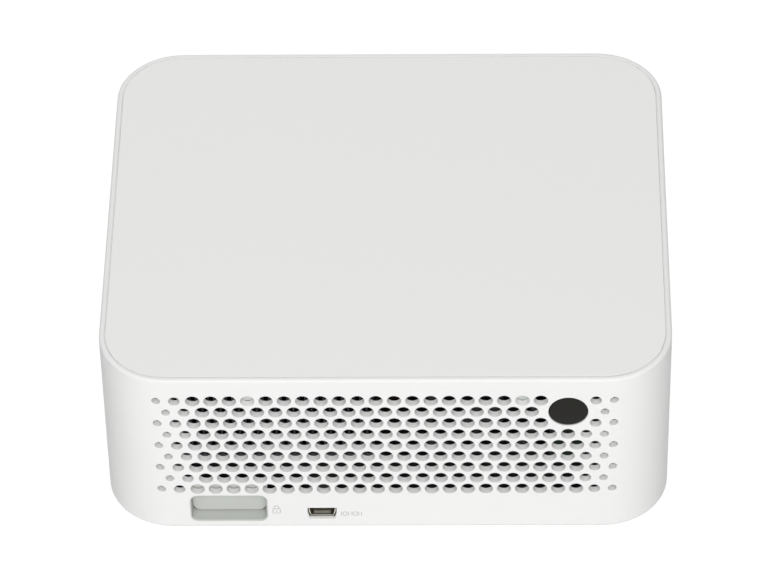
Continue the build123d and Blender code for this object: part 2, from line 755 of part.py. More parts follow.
def side_led(y):
    """A light source on the engine's left face, its emitter in the port."""
    with BuildPart() as module:
        add(block((engine_left - led_plate, engine_left), (y - 6, y + 6), (lens_z - 7, lens_z + 7)))
        add(rod((engine_left, y, lens_z), (engine_left + 1.2, y, lens_z), 2.4))
    return module


red_led = side_led(led_ports[0][0])
blue_led = side_led(led_ports[1][0])
with BuildPart() as green_led:
    add(block((engine_x - 7, engine_x + 7), (engine_rear - led_plate, engine_rear),
              (lens_z - 7, lens_z + 7)))
    add(rod((engine_x, engine_rear, lens_z), (engine_x, engine_rear + 1.2, lens_z), 2.4))

spread_left = engine_left - led_plate - spread_thick
spread_rear = engine_rear - led_plate - spread_thick
with BuildPart() as led_heat_spreader:
    spread_z = (lens_z - 10, lens_z + 10)
    add(block((spread_left, spread_left + spread_thick), (spread_rear, engine_front - 1), spread_z))
    add(block((spread_left, engine_x + 11), (spread_rear, spread_rear + spread_thick), spread_z))

fin_left = blower_left + fin_inset
fin_right = fin_left + (fin_count - 1) * fin_pitch + fin_thick
fin_base = 1.6
fin_low = deck_top + fin_base
fin_high = fin_low + fin_height - fin_base
pipe_y = (fin_rear + fin_front) / 2
pipe_x = max(fin_right, blower_right) + pipe_bend + 0.5
pipe_heights = (lens_z - 6.0, lens_z + 7.5)
with BuildPart() as heat_pipes:
    for z in pipe_heights:
        with BuildLine() as route:
            FilletPolyline(
                (engine_x + 10, spread_rear - pipe_radius - slide_gap, z),
                (pipe_x, spread_rear - pipe_radius - slide_gap, z),
                (pipe_x, pipe_y, z),
                (fin_left + 2, pipe_y, z),
                radius=pipe_bend,
            )
        with BuildSketch(Plane(origin=route.line @ 0, z_dir=route.line % 0)):
            Circle(pipe_radius)
        sweep(path=route.line)

with BuildPart() as fin_stack:
    with BuildSketch(Plane.XY.offset(deck_top)):
        with Locations(((fin_left + fin_right) / 2, pipe_y)):
            Rectangle(fin_right - fin_left, fin_depth)
    extrude(amount=fin_base)
    with BuildSketch(Plane.XY.offset(fin_high)):
        with Locations(((fin_left + fin_right) / 2, pipe_y)):
            Rectangle(fin_right - fin_left, fin_depth)
    extrude(amount=0.6)
    with BuildSketch(Plane.XY.offset(fin_low)):
        with Locations(((fin_left + fin_right) / 2, pipe_y)):
            with GridLocations(fin_pitch, 1, fin_count, 1):
                Rectangle(fin_thick, fin_depth)
    extrude(amount=fin_high - fin_low)
    for z in pipe_heights:
        add(rod((fin_left, pipe_y, z), (fin_right, pipe_y, z), pipe_radius + snug), mode=Mode.SUBTRACT)

dmd_left = engine_right
with BuildPart() as dmd_board:
    add(block((dmd_left, dmd_left + 1.0), (dmd_mid - 4.8, dmd_mid + 4.8), (lens_z - 3.8, lens_z + 3.8)))
    add(block((dmd_left + 1.0, dmd_left + 2.4), (dmd_mid - 12, dmd_mid + 12),
              (lens_z - 11, lens_z + 11)))

with BuildPart() as dmd_heatsink:
    sink_left = dmd_left + 2.4
    add(block((sink_left, sink_left + 2.0), (dmd_mid - 10, dmd_mid + 10), (lens_z - 9, lens_z + 9)))
    for step in range(7):
        y = dmd_mid - 9.4 + step * 18.8 / 6
        add(block((sink_left + 2.0, sink_left + 8.5), (y - 0.6, y + 0.6), (lens_z - 9, lens_z + 9)))

# ------------------------------------------------------------------ cooling
blower_skin = 1.2
scroll_radius = rotor_radius + 2.6
hub_radius = 10.0
inlet_radius = 17.0
with BuildPart() as blower_case:
    with BuildSketch(Plane.XY.offset(blower_low)):
        with Locations((blower_x, blower_y)):
            RectangleRounded(blower_side, blower_side, 6.0)
    extrude(amount=blower_thick)
    with BuildSketch(Plane.XY.offset(blower_low + blower_skin)):
        with Locations((blower_x, blower_y)):
            Circle(scroll_radius)
        with Locations((blower_x, blower_rear)):
            Rectangle(2 * scroll_radius, blower_side / 2, align=(Align.CENTER, Align.MIN))
    extrude(amount=blower_thick - 2 * blower_skin, mode=Mode.SUBTRACT)
    add(rod((blower_x, blower_y, blower_high - blower_skin), (blower_x, blower_y, blower_high),
            inlet_radius), mode=Mode.SUBTRACT)
    add(rod((blower_x, blower_y, blower_low), (blower_x, blower_y, blower_low + 8.0), 3.2))
    add(rod((blower_x, blower_y, blower_low + 2.0), (blower_x, blower_y, blower_low + 8.0), 1.5 + snug),
        mode=Mode.SUBTRACT)

with BuildPart() as blower_rotor:
    disc_low = blower_low + blower_skin + 1.0
    blade_high = blower_high - blower_skin - 0.8
    add(rod((blower_x, blower_y, disc_low + 8.4), (blower_x, blower_y, disc_low + 9.6), hub_radius))
    with BuildSketch(Plane.XY.offset(disc_low)):
        with Locations((blower_x, blower_y)):
            Circle(hub_radius)
            Circle(hub_radius - 1.2, mode=Mode.SUBTRACT)
    extrude(amount=9.0)
    with BuildSketch(Plane.XY.offset(disc_low)):
        with Locations((blower_x, blower_y)):
            Circle(rotor_radius)
            Circle(hub_radius - 0.5, mode=Mode.SUBTRACT)
    extrude(amount=1.0)
    with BuildSketch(Plane.XY.offset(disc_low + 0.5)):
        with Locations((blower_x, blower_y)):
            with PolarLocations(rotor_radius - 3.6, 24):
                Rectangle(6.4, 0.8, rotation=35)
    extrude(amount=blade_high - disc_low - 0.5)
    add(rod((blower_x, blower_y, blower_low + 2.4), (blower_x, blower_y, disc_low + 9.0), 1.5))

fan_z = deck_top + fan_side / 2
fan_rear = deck_rear + 1.6
fan_front = fan_rear + fan_depth
fan_bore = fan_side / 2 - 1.0
fan_hub = 6.0
with BuildPart() as exhaust_fan_frame:
    add(block((fan_x - fan_side / 2, fan_x + fan_side / 2), (fan_rear, fan_front),
              (fan_z - fan_side / 2, fan_z + fan_side / 2)))
    fillet(exhaust_fan_frame.edges().filter_by(Axis.Y), radius=1.5)
    add(rod((fan_x, fan_rear, fan_z), (fan_x, fan_front, fan_z), fan_bore), mode=Mode.SUBTRACT)
    add(rod((fan_x, fan_front - 1.6, fan_z), (fan_x, fan_front, fan_z), fan_hub))
    for turn in range(4):
        with BuildSketch(Plane.XZ.offset(-fan_front)):
            with Locations((fan_x, fan_z)):
                with PolarLocations(fan_hub - 1, 1, start_angle=45 + 90 * turn):
                    Rectangle(fan_bore - fan_hub + 2.5, 1.6, align=(Align.MIN, Align.CENTER))
        extrude(amount=1.2)
    add(rod((fan_x, fan_front - 5.0, fan_z), (fan_x, fan_front - 1.6, fan_z), 2.2))
    add(rod((fan_x, fan_front - 5.0, fan_z), (fan_x, fan_front - 0.8, fan_z), 1.0 + snug),
        mode=Mode.SUBTRACT)

with BuildPart() as exhaust_fan_rotor:
    cup_rear = fan_rear + 0.6
    cup_front = fan_front - 2.0
    add(rod((fan_x, cup_rear, fan_z), (fan_x, cup_front, fan_z), fan_hub))
    add(rod((fan_x, cup_rear + 1.2, fan_z), (fan_x, cup_front, fan_z), fan_hub - 0.9), mode=Mode.SUBTRACT)
    add(rod((fan_x, cup_rear + 1.0, fan_z), (fan_x, fan_front - 1.2, fan_z), 1.0))
    blade_plane = Plane.XZ.offset(-(cup_front - 0.3))
    with BuildSketch(blade_plane) as blade_root:
        with Locations((fan_x, fan_z)):
            with PolarLocations(fan_hub - 0.4, 7):
                Rectangle(fan_bore - fan_hub - 0.2, 1.1, rotation=0, align=(Align.MIN, Align.CENTER))
    extrude(amount=cup_front - cup_rear - 1.2)

# -------------------------------------------------------------- lens group
bezel_face = half_y - 0.2
bezel_depth = 7.6
with BuildPart() as lens_bezel:
    with BuildSketch(Plane.XZ.offset(-bezel_face)):
        with Locations((lens_x, lens_z)):
            Circle(lens_opening - 0.15)
    extrude(amount=bezel_depth)
    with BuildSketch(Plane.XZ.offset(-inner_y)):
        with Locations((lens_x, lens_z)):
            Circle(lens_flange)
    extrude(amount=1.2)
    add(rod((lens_x, bezel_face - bezel_depth, lens_z), (lens_x, bezel_face, lens_z),
            ring_radius + slide_gap), mode=Mode.SUBTRACT)
    chamfer(lens_bezel.edges().group_by(Axis.Y)[-1].sort_by(SortBy.RADIUS)[0], length=1.6)

with BuildPart() as focus_ring:
    with BuildSketch(Plane.XZ.offset(-ring_front)):
        with Locations((lens_x, lens_z)):
            Circle(ring_radius)
            Circle(bore_radius, mode=Mode.SUBTRACT)
    extrude(amount=ring_front - ring_rear)
    with BuildSketch(Plane.XZ.offset(-ring_front)):
        with Locations((lens_x, lens_z)):
            with PolarLocations((ring_radius + bore_radius) / 2, 2, start_angle=90):
                Rectangle(ring_radius - bore_radius - 0.5, 6.0)
    extrude(amount=-1.3)

lens_seat = 9.0
with BuildPart() as lens_barrel:
    barrel_end = (lens_x, barrel_front, lens_z)
    add(rod((lens_x, barrel_rear, lens_z), barrel_end, barrel_radius))
    add(rod((lens_x, barrel_rear, lens_z), barrel_end, barrel_radius - 2.0), mode=Mode.SUBTRACT)
    add(rod((lens_x, barrel_front - 6.0, lens_z), barrel_end, lens_seat), mode=Mode.SUBTRACT)
    chamfer(lens_barrel.edges().group_by(Axis.Y)[-1].sort_by(SortBy.RADIUS)[0], length=0.6)


def lens_element(front, edge_thick, bulge, radius):
    """A round lens on the optical axis, flat at the back, domed to the front."""
    dome = (radius ** 2 + bulge ** 2) / (2 * bulge)
    with BuildPart() as element:
        add(rod((lens_x, front - bulge - edge_thick, lens_z), (lens_x, front, lens_z), radius))
        centre = (lens_x, front - dome, lens_z)
        add(Pos(*centre) * Sphere(dome, mode=Mode.PRIVATE), mode=Mode.INTERSECT)
    return element


front_lens = lens_element(barrel_front - 0.9, 2.6, 2.5, lens_seat - snug)
rear_lens = lens_element(barrel_rear + 5.0, 1.6, 1.6, barrel_radius - 2.0 - snug)

# ----------------------------------------------------------------- speakers
speaker_width = 28.0
speaker_height = 26.0
speaker_front = inner_y - 2.6
speaker_rear = speaker_front - 10.0
speaker_x = (-47.0, -16.0)
speaker_z = deck_top + speaker_height / 2
with BuildPart() as speaker_frames:
    for x in speaker_x:
        add(block((x - speaker_width / 2, x + speaker_width / 2), (speaker_rear, speaker_front),
                  (deck_top, deck_top + speaker_height)))
        add(rod((x, speaker_front - 3.0, speaker_z), (x, speaker_front, speaker_z), 11.5),
            mode=Mode.SUBTRACT)

with BuildPart() as speaker_cones:
    for x in speaker_x:
        add(rod((x, speaker_front - 3.0, speaker_z), (x, speaker_front - 1.2, speaker_z), 11.5 - snug))
        add(rod((x, speaker_front - 1.2, speaker_z), (x, speaker_front - 0.4, speaker_z), 4.5))

# --------------------------------------------------------------- disc drive
case_low = drive_bottom + sheet
case_high = drive_top - sheet
rail_mid = (tray_bottom + plate_bottom) / 2 + 0.6
lip_thick = 0.9
with BuildPart() as drive_case:
    add(block((-case_half, case_half), (case_rear, case_front), (drive_bottom, case_high)))
    add(block((-case_half + sheet, case_half - sheet), (case_rear + sheet, case_front),
              (case_low, case_high)), mode=Mode.SUBTRACT)
    # guide lips above and below each rail
    for side in (-1, 1):
        lip_x = sorted((side * (rail_inner + 0.3), side * (case_half - sheet)))
        lip_reach = rail_height / 2 + slide_gap
        for z in (rail_mid + lip_reach, rail_mid - lip_reach - lip_thick):
            add(block(lip_x, (case_rear + 8, case_front), (z, z + lip_thick)))

with BuildPart() as drive_cover:
    add(block((-case_half, case_half), (case_rear, case_front), (case_high, drive_top)))
    with BuildSketch(Plane.XY.offset(drive_top - sheet)):
        with Locations((0, disc_y)):
            Circle(9.0)
    extrude(amount=sheet, mode=Mode.SUBTRACT)

tongue_z = (rail_mid - 0.9, rail_mid + 0.9)
hub_clear = 17.5
sled_half = 19.0
sled_rear = disc_y - 27.2
sled_front = sled_rear + 16.0
sled_travel = 30.0
track_half = 14.0
spindle_low = tray_bottom + 1.0          # underside of the traverse plate
spindle_floor = spindle_low + 1.0        # its top
rod_radius = 1.0
rod_x = 16.0
rod_z = spindle_floor + 1.6
rod_rear = tray_rear + tray_skin + 0.4
rod_front = disc_y - 4.8
screw_x = 23.5
screw_z = spindle_low + 1.6
screw_radius = 1.2
screw_rear = rod_rear + 2.4
screw_front = screw_rear + 38.0
pin_radius = 0.6
motor_rear = screw_front + slide_gap
motor_front = motor_rear + 9.0
slot_rear = rod_rear + 1.8
eject_x = 50.0

with BuildPart() as disc_tray:
    with BuildSketch(Plane.XY.offset(tray_bottom)):
        with Locations((0, (tray_front + tray_rear) / 2)):
            RectangleRounded(2 * tray_half, tray_length, 3.0)
    extrude(amount=tray_height)
    with BuildSketch(Plane.XY.offset(tray_bottom)):
        with Locations((0, (tray_front + tray_rear) / 2)):
            RectangleRounded(2 * (tray_half - tray_skin), tray_length - 2 * tray_skin, 1.5)
    extrude(amount=plate_bottom - tray_bottom, mode=Mode.SUBTRACT)
    # the disc's recess with two finger bays, the hub hole and the pickup track
    with BuildSketch(Plane.XY.offset(recess_floor)):
        with Locations((0, disc_y)):
            Circle(recess_radius)
            with PolarLocations(recess_radius, 2, start_angle=35, angular_range=110, endpoint=True):
                Circle(9.0)
    extrude(amount=recess_depth, mode=Mode.SUBTRACT)
    with BuildSketch(Plane.XY.offset(plate_bottom)):
        with Locations((0, disc_y)):
            Circle(hub_clear)
            Rectangle(2 * track_half, disc_y - tray_rear - tray_skin - 1.0, align=(Align.CENTER, Align.MAX))
    extrude(amount=floor_thick, mode=Mode.SUBTRACT)
    # a shallow step for the smaller disc size
    with BuildSketch(Plane.XY.offset(recess_floor - 0.5)):
        with Locations((0, disc_y)):
            Circle(40.4)
    extrude(amount=0.5, mode=Mode.SUBTRACT)
    # tongues that run in the rails
    for side in (-1, 1):
        add(block(sorted((side * tray_half, side * (tray_half + 0.8))), (tray_rear + 3, tray_front - 4),
                  tongue_z))
    # bosses that carry the traverse plate
    for x, y in ((-27.0, disc_y + 16), (27.0, disc_y + 16), (-27.0, tray_rear + 8), (29.5, tray_rear + 8)):
        add(rod((x, y, spindle_floor), (x, y, plate_bottom + 0.4), 2.4))
    # the eject button's place in the front skirt, and its switch
    add(block((eject_x - 5.5, eject_x + 5.5), (tray_front - 4, tray_front),
              (tray_bottom + 1.4, plate_bottom + 1.6)), mode=Mode.SUBTRACT)
    add(block((eject_x - 2, eject_x + 2), (tray_front - 8, tray_front - 2.0),
              (bezel_z - 1.5, plate_bottom + 1.7)))

with BuildPart() as tray_bezel:
    add(wall_band(bezel_low, bezel_high))
    add(block((-bezel_half, bezel_half), (half_y - corner_radius / 2, half_y), (bezel_low, bezel_high)),
        mode=Mode.INTERSECT)
    with BuildSketch(Plane.XZ.offset(-half_y)):
        with Locations((eject_x, bezel_z)):
            SlotOverall(9.0, 3.6)
    extrude(amount=wall, mode=Mode.SUBTRACT)

with BuildPart() as eject_button:
    with BuildSketch(Plane.XZ.offset(-(half_y - 0.2))):
        with Locations((eject_x, bezel_z)):
            SlotOverall(9.0 - 2 * slide_gap, 3.6 - 2 * slide_gap)
    extrude(amount=wall + 0.1)
    with BuildSketch(Plane.XZ.offset(-(tray_front - slide_gap))):
        with Locations((eject_x, bezel_z)):
            SlotOverall(9.6, 4.6)
    extrude(amount=0.8)

with BuildPart() as traverse_plate:
    with BuildSketch(Plane.XY.offset(spindle_low)):
        with Locations((0, (rod_rear + disc_y + 20) / 2)):
            RectangleRounded(66.0, disc_y + 20 - rod_rear, 3.0)
        with Locations((0, sled_rear - 8)):
            Rectangle(20.0, sled_travel, mode=Mode.SUBTRACT)
        with Locations((screw_x, slot_rear)):
            Rectangle(6.4, motor_front - slot_rear, align=(Align.CENTER, Align.MIN), mode=Mode.SUBTRACT)
    extrude(amount=spindle_floor - spindle_low)
    # blocks that hold the guide rods' ends and the screw's far end
    for x in (-rod_x, rod_x):
        for low, high in ((rod_rear, rod_rear + 1.6), (rod_front - 2.0, rod_front)):
            add(block((x - 1.8, x + 1.8), (low, high), (spindle_floor, rod_z + 1.6)))
    add(block((screw_x - 1.8, screw_x + 1.8), (rod_rear, rod_rear + 1.6), (spindle_low, screw_z + 1.6)))
    for x in (-rod_x, rod_x):
        add(rod((x, rod_rear, rod_z), (x, rod_front, rod_z), rod_radius + snug), mode=Mode.SUBTRACT)
    add(rod((screw_x, rod_rear + 0.4, screw_z), (screw_x, rod_rear + 1.6, screw_z), pin_radius + snug),
        mode=Mode.SUBTRACT)

with BuildPart() as guide_rods:
    for x in (-rod_x, rod_x):
        add(rod((x, rod_rear, rod_z), (x, rod_front, rod_z), rod_radius))

motor_radius = 13.0
cup_radius = 12.0
platform_z = recess_floor + 0.2
spigot_radius = 7.4
with BuildPart() as spindle_motor:
    add(rod((0, disc_y, spindle_floor), (0, disc_y, spindle_floor + 1.2), motor_radius))
    with BuildSketch(Plane.XY.offset(spindle_floor + 1.2)):
        with Locations((0, disc_y)):
            Circle(10.4)
    extrude(amount=1.6)
    add(rod((0, disc_y, spindle_floor + 1.2), (0, disc_y, platform_z - 1.6), 3.0))
    add(rod((0, disc_y, spindle_floor + 0.4), (0, disc_y, platform_z - 1.6), 1.5 + snug), mode=Mode.SUBTRACT)

with BuildPart() as disc_hub:
    add(rod((0, disc_y, spindle_floor + 1.6), (0, disc_y, platform_z - 0.6), cup_radius))
    add(rod((0, disc_y, platform_z - 1.2), (0, disc_y, platform_z), cup_radius + 2))
    add(rod((0, disc_y, spindle_floor + 1.6), (0, disc_y, platform_z - 1.3), cup_radius - 1),
        mode=Mode.SUBTRACT)
    add(rod((0, disc_y, platform_z), (0, disc_y, platform_z + 2.0), spigot_radius))
    fillet(disc_hub.edges().group_by(Axis.Z)[-1], radius=0.8)
    add(rod((0, disc_y, spindle_floor + 0.8), (0, disc_y, platform_z), 1.5))
    # three sprung balls that grip the disc
    with BuildSketch(Plane.XY.offset(platform_z + 0.6)):
        with Locations((0, disc_y)):
            with PolarLocations(spigot_radius - 0.7, 3, start_angle=90):
                Circle(1.1)
    extrude(amount=0.8)

with BuildPart() as pickup_sled:
    sled_low = spindle_floor + 0.3
    add(block((-sled_half, sled_half), (sled_rear, sled_front), (sled_low, plate_bottom - 0.3)))
    add(block((-track_half + 3, track_half - 3), (sled_rear, sled_front), (sled_low, recess_floor - 0.6)))
    add(rod((0, disc_y, sled_low - 1), (0, disc_y, recess_floor), cup_radius + 2.3), mode=Mode.SUBTRACT)
    for x in (-rod_x, rod_x):
        add(rod((x, sled_rear, rod_z), (x, sled_front, rod_z), rod_radius + snug), mode=Mode.SUBTRACT)
    add(block((sled_half, screw_x - screw_radius - slide_gap), (sled_rear + 2, sled_rear + 6),
              (sled_low, screw_z + 1.0)))
    lens_spot = (0, sled_rear + 2.8)
    add(rod((*lens_spot, recess_floor - 1.4), (*lens_spot, recess_floor - 0.6), 2.2 + snug),
        mode=Mode.SUBTRACT)

with BuildPart() as pickup_lens:
    add(rod((*lens_spot, recess_floor - 1.4), (*lens_spot, recess_floor - 0.4), 2.2))
    fillet(pickup_lens.edges().group_by(Axis.Z)[-1], radius=0.5)

with BuildPart() as lead_screw:
    add(rod((screw_x, rod_rear + 0.6, screw_z), (screw_x, screw_rear, screw_z), pin_radius))
    add(rod((screw_x, screw_rear, screw_z), (screw_x, screw_front, screw_z), screw_radius))
    add(rod((screw_x, screw_front, screw_z), (screw_x, screw_front + 4.0, screw_z), pin_radius))

with BuildPart() as sled_motor:
    add(rod((screw_x, motor_rear, screw_z), (screw_x, motor_front, screw_z), 2.6))
    add(block((screw_x - 2.6, screw_x + 2.6), (motor_rear, motor_front), (screw_z - 2.4, screw_z)))
    add(rod((screw_x, motor_rear, screw_z), (screw_x, motor_rear + 4.4, screw_z), pin_radius + snug),
        mode=Mode.SUBTRACT)

rail_rear = tray_rear + 6
rail_front = tray_front - 4


def rail(side):
    """A channel that runs between the tray's tongue and the case's lips."""
    low = rail_mid - rail_height / 2
    high = rail_mid + rail_height / 2
    with BuildPart() as channel:
        add(block(sorted((side * rail_inner, side * rail_outer)), (rail_rear, rail_front), (low, high)))
        add(block(sorted((side * rail_inner, side * (tray_half + 0.8 + 0.2))), (rail_rear, rail_front),
                  (tongue_z[0] - slide_gap, tongue_z[1] + slide_gap)), mode=Mode.SUBTRACT)
    return channel


rail_left = rail(-1)
rail_right = rail(1)

# ------------------------------------------------------------------- output
pieces = {
    "body_shell": body_shell, "rear_grille": rear_grille, "front_grille": front_grille,
    "top_panel": top_panel, "bottom_cover": bottom_cover, "rubber_feet": rubber_feet,
    "chassis_screws": chassis_screws, "tripod_insert": tripod_insert,
    "ir_window": ir_window, "ir_sensor_board": ir_sensor_board, "rear_pocket": rear_pocket,
    "service_port_shell": service_port_shell, "service_port_tongue": service_port_tongue,
    "mid_deck": mid_deck, "main_board": main_board, "dc_jack": dc_jack, "hdmi_port": hdmi_port,
    "usb_a_port": usb_a_port, "usb_c_port": usb_c_port, "audio_jack": audio_jack,
    "power_button": power_button, "source_button": source_button, "volume_rocker": volume_rocker,
    "button_board": button_board, "optical_housing": optical_housing,
    "red_led": red_led, "green_led": green_led, "blue_led": blue_led,
    "led_heat_spreader": led_heat_spreader, "heat_pipes": heat_pipes, "fin_stack": fin_stack,
    "dmd_board": dmd_board, "dmd_heatsink": dmd_heatsink,
    "blower_case": blower_case, "blower_rotor": blower_rotor,
    "exhaust_fan_frame": exhaust_fan_frame, "exhaust_fan_rotor": exhaust_fan_rotor,
    "lens_bezel": lens_bezel, "focus_ring": focus_ring, "lens_barrel": lens_barrel,
    "front_lens": front_lens, "rear_lens": rear_lens,
    "speaker_frames": speaker_frames, "speaker_cones": speaker_cones,
    "drive_case": drive_case, "drive_cover": drive_cover,
    "disc_tray": disc_tray, "tray_bezel": tray_bezel, "eject_button": eject_button,
    "traverse_plate": traverse_plate, "guide_rods": guide_rods,
    "spindle_motor": spindle_motor, "disc_hub": disc_hub,
    "pickup_sled": pickup_sled, "pickup_lens": pickup_lens,
    "lead_screw": lead_screw, "sled_motor": sled_motor,
    "rail_left": rail_left, "rail_right": rail_right,
}

os.makedirs("parts", exist_ok=True)
for name, piece in pieces.items():
    piece.part.label = name
    export_step(piece.part, f"parts/{name}.step")
print("body", body_width, body_depth, body_top, "pieces", len(pieces), "rear holes", len(rear_holes))
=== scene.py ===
# %% [markdown]
# # A compact projector with a disc drive
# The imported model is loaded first. It fixes where every part is and how it moves. Everything below
# only gives those parts their finish, or stands in for one of them with a more finely made piece.

# %% Load the frame
import json
from math import asin, cos, pi, radians, sin, sqrt

import bpy
from mathutils import Matrix, Vector
from mathutils.geometry import delaunay_2d_cdt

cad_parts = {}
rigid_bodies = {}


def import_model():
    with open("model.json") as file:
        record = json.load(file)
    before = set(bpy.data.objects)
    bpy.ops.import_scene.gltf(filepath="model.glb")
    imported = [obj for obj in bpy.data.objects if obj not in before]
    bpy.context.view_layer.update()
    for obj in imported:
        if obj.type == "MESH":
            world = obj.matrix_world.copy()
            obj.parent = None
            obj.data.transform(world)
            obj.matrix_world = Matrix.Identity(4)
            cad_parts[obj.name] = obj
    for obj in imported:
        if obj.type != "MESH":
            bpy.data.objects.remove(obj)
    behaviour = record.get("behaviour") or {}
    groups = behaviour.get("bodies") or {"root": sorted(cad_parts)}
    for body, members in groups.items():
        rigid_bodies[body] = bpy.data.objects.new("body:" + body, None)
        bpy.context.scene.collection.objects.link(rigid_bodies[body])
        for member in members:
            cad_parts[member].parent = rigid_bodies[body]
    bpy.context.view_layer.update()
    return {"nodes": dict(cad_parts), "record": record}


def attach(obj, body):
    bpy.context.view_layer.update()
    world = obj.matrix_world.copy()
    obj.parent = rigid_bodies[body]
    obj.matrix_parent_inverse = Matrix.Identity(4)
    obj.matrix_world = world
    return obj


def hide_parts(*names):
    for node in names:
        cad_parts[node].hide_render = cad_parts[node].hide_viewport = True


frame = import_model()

mm = 0.001


def new_object(name, data):
    made = bpy.data.objects.new(name, data)
    bpy.context.scene.collection.objects.link(made)
    return made


# %% [markdown]
# ## The camera
# The photograph looks down on the vented rear wall from 44 degrees, from far off with a long lens,
# so the sides of the body hardly converge. The camera's place is written as the point it looks at,
# the angles of the way back from that point, and a distance, so each number can be read.

# %% Camera
elevation, azimuth, roll = radians(44.074), radians(1.575), radians(1.267)
distance, slide_right, slide_up = 1.3949, 0.001134, -0.019552
pixels_per_unit, frame_width = 4727.8, 770
looked_at = Vector((0, 0, 1.7 * mm))

back = Vector((sin(azimuth) * cos(elevation), -cos(azimuth) * cos(elevation), sin(elevation)))
right = Vector((cos(azimuth), sin(azimuth), 0.0))
up = back.cross(right)
camera_x = right * cos(roll) - up * sin(roll)
camera_y = right * sin(roll) + up * cos(roll)

camera_data = bpy.data.cameras.new("photo_camera")
camera_data.sensor_fit = "HORIZONTAL"
camera_data.sensor_width = 36.0
camera_data.lens = pixels_per_unit / frame_width * camera_data.sensor_width
camera_data.clip_start, camera_data.clip_end = 0.05, 50.0
camera = new_object("photo_camera", camera_data)
turn = Matrix((camera_x, camera_y, back)).transposed().to_4x4()
place = looked_at + back * distance - right * slide_right - up * slide_up
camera.matrix_world = Matrix.Translation(place) @ turn
bpy.context.scene.camera = camera
print("lens", round(camera_data.lens, 1), "mm")

# %% [markdown]
# ## Node trees written as arithmetic
# Materials and Geometry Nodes are both graphs of small sums. Wiring each sum by hand hides what it
# means, so one small class wraps a socket and turns Python's operators into Math nodes. A tree then
# adds any other node: its settings go in first, because they decide which sockets it has.


# %% Sums on sockets
class Signal:
    """A value that runs through a node tree; arithmetic on it adds Math nodes."""

    def __init__(self, tree, socket):
        self.tree, self.socket = tree, socket

    def sum(self, operation, *values):
        return self.tree.add("ShaderNodeMath", values, operation=operation)[0]

    def step(self, low, high):
        """0 below low, 1 above high, smooth between."""
        values = (self, low, high)
        return self.tree.add("ShaderNodeMapRange", values, interpolation_type="SMOOTHSTEP")[0]


def give_sum(method, operation, turned=False):
    """Gives signals a method that adds one Math node; turned swaps its two values."""
    def method_of(*values):
        return values[0].sum(operation, *(values[::-1] if turned else values))
    setattr(Signal, method, method_of)


for sign, operation in (("add", "ADD"), ("sub", "SUBTRACT"), ("mul", "MULTIPLY")):
    give_sum(f"__{sign}__", operation)
    give_sum(f"__r{sign}__", operation, turned=True)
for sign, operation in (("truediv", "DIVIDE"), ("pow", "POWER"), ("mod", "FLOORED_MODULO"),
                        ("lt", "LESS_THAN"), ("gt", "GREATER_THAN")):
    give_sum(f"__{sign}__", operation)
for word, operation in (("root", "SQRT"), ("size", "ABSOLUTE"), ("whole", "ROUND"),
                        ("sine", "SINE"), ("cosine", "COSINE"),
                        ("least", "MINIMUM"), ("most", "MAXIMUM")):
    give_sum(word, operation)


def live(sockets):
    """The sockets that a node shows with its present settings."""
    return [s for s in sockets if s.enabled and not s.is_unavailable]


class Outputs:
    """The outputs of a node, by number or by name."""

    def __init__(self, tree, node):
        self.tree, self.node = tree, node

    def __getitem__(self, key):
        found = live(self.node.outputs) if isinstance(key, int) else self.node.outputs
        return Signal(self.tree, found[key])


class Tree:
    """Adds nodes to a material's tree or to a geometry tree."""

    def __init__(self, nodes, links):
        self.nodes, self.links = nodes, links

    def plug(self, socket, value):
        """Links a signal to a socket, or sets a plain value on it."""
        if isinstance(value, Signal):
            self.links.new(value.socket, socket)
        elif value is not None:
            socket.default_value = value

    def add(self, kind, values=(), **settings):
        """A node with these settings, and values by socket name or in the sockets' order."""
        node = self.nodes.new(kind)
        for name, value in settings.items():
            setattr(node, name, value)
        shown = live(node.inputs)
        pairs = values.items() if isinstance(values, dict) else enumerate(values)
        for key, value in pairs:
            self.plug(shown[key] if isinstance(key, int) else node.inputs[key], value)
        return Outputs(self, node)

    def split(self, vector):
        parts = self.add("ShaderNodeSeparateXYZ", [vector])
        return parts[0], parts[1], parts[2]

    def join(self, x, y, z):
        return self.add("ShaderNodeCombineXYZ", [x, y, z])[0]

    def vector(self, operation, *values):
        return self.add("ShaderNodeVectorMath", values, operation=operation)[0]


def fresh_tree(owner):
    """The emptied node tree of a material or a world."""
    owner.use_nodes = True
    owner.node_tree.nodes.clear()
    return Tree(owner.node_tree.nodes, owner.node_tree.links)


print("helpers ready")

# %% [markdown]
# ## Finishes
# Every finish answers the same few questions: what colour, how rough, is it metal, what grain has
# the tool or the mould left. The grain is noise in Object coordinates, in metres, so it has its
# true size and stays put when parts move.


# %% Start of a finish
finishes = {}


def srgb(*rgb):
    """A colour as a picture editor shows it, from 0 to 255, made linear for the renderer."""
    linear = [c / 255 / 12.92 if c <= 10 else ((c / 255 + 0.055) / 1.055) ** 2.4 for c in rgb]
    return (*linear, 1.0)


def start_finish(name):
    """A new finish in the table, with its tree, its shader and the object's own coordinates."""
    material = finishes[name] = bpy.data.materials.new(name)
    tree = fresh_tree(material)
    shader = tree.add("ShaderNodeBsdfPrincipled").node
    tree.add("ShaderNodeOutputMaterial", {"Surface": Signal(tree, shader.outputs[0])})
    return tree, shader, tree.add("ShaderNodeTexCoord")["Object"]


def connect(tree, shader, **sockets):
    """Puts values or signals on the shader's sockets; names use _ for a space."""
    for name, value in sockets.items():
        tree.plug(shader.inputs[name.replace("_", " ")], value)


def colour_mix(tree, amount, first, second):
    """A colour between two, by amount."""
    return tree.add("ShaderNodeMix", (amount, first, second), data_type="RGBA")[0]


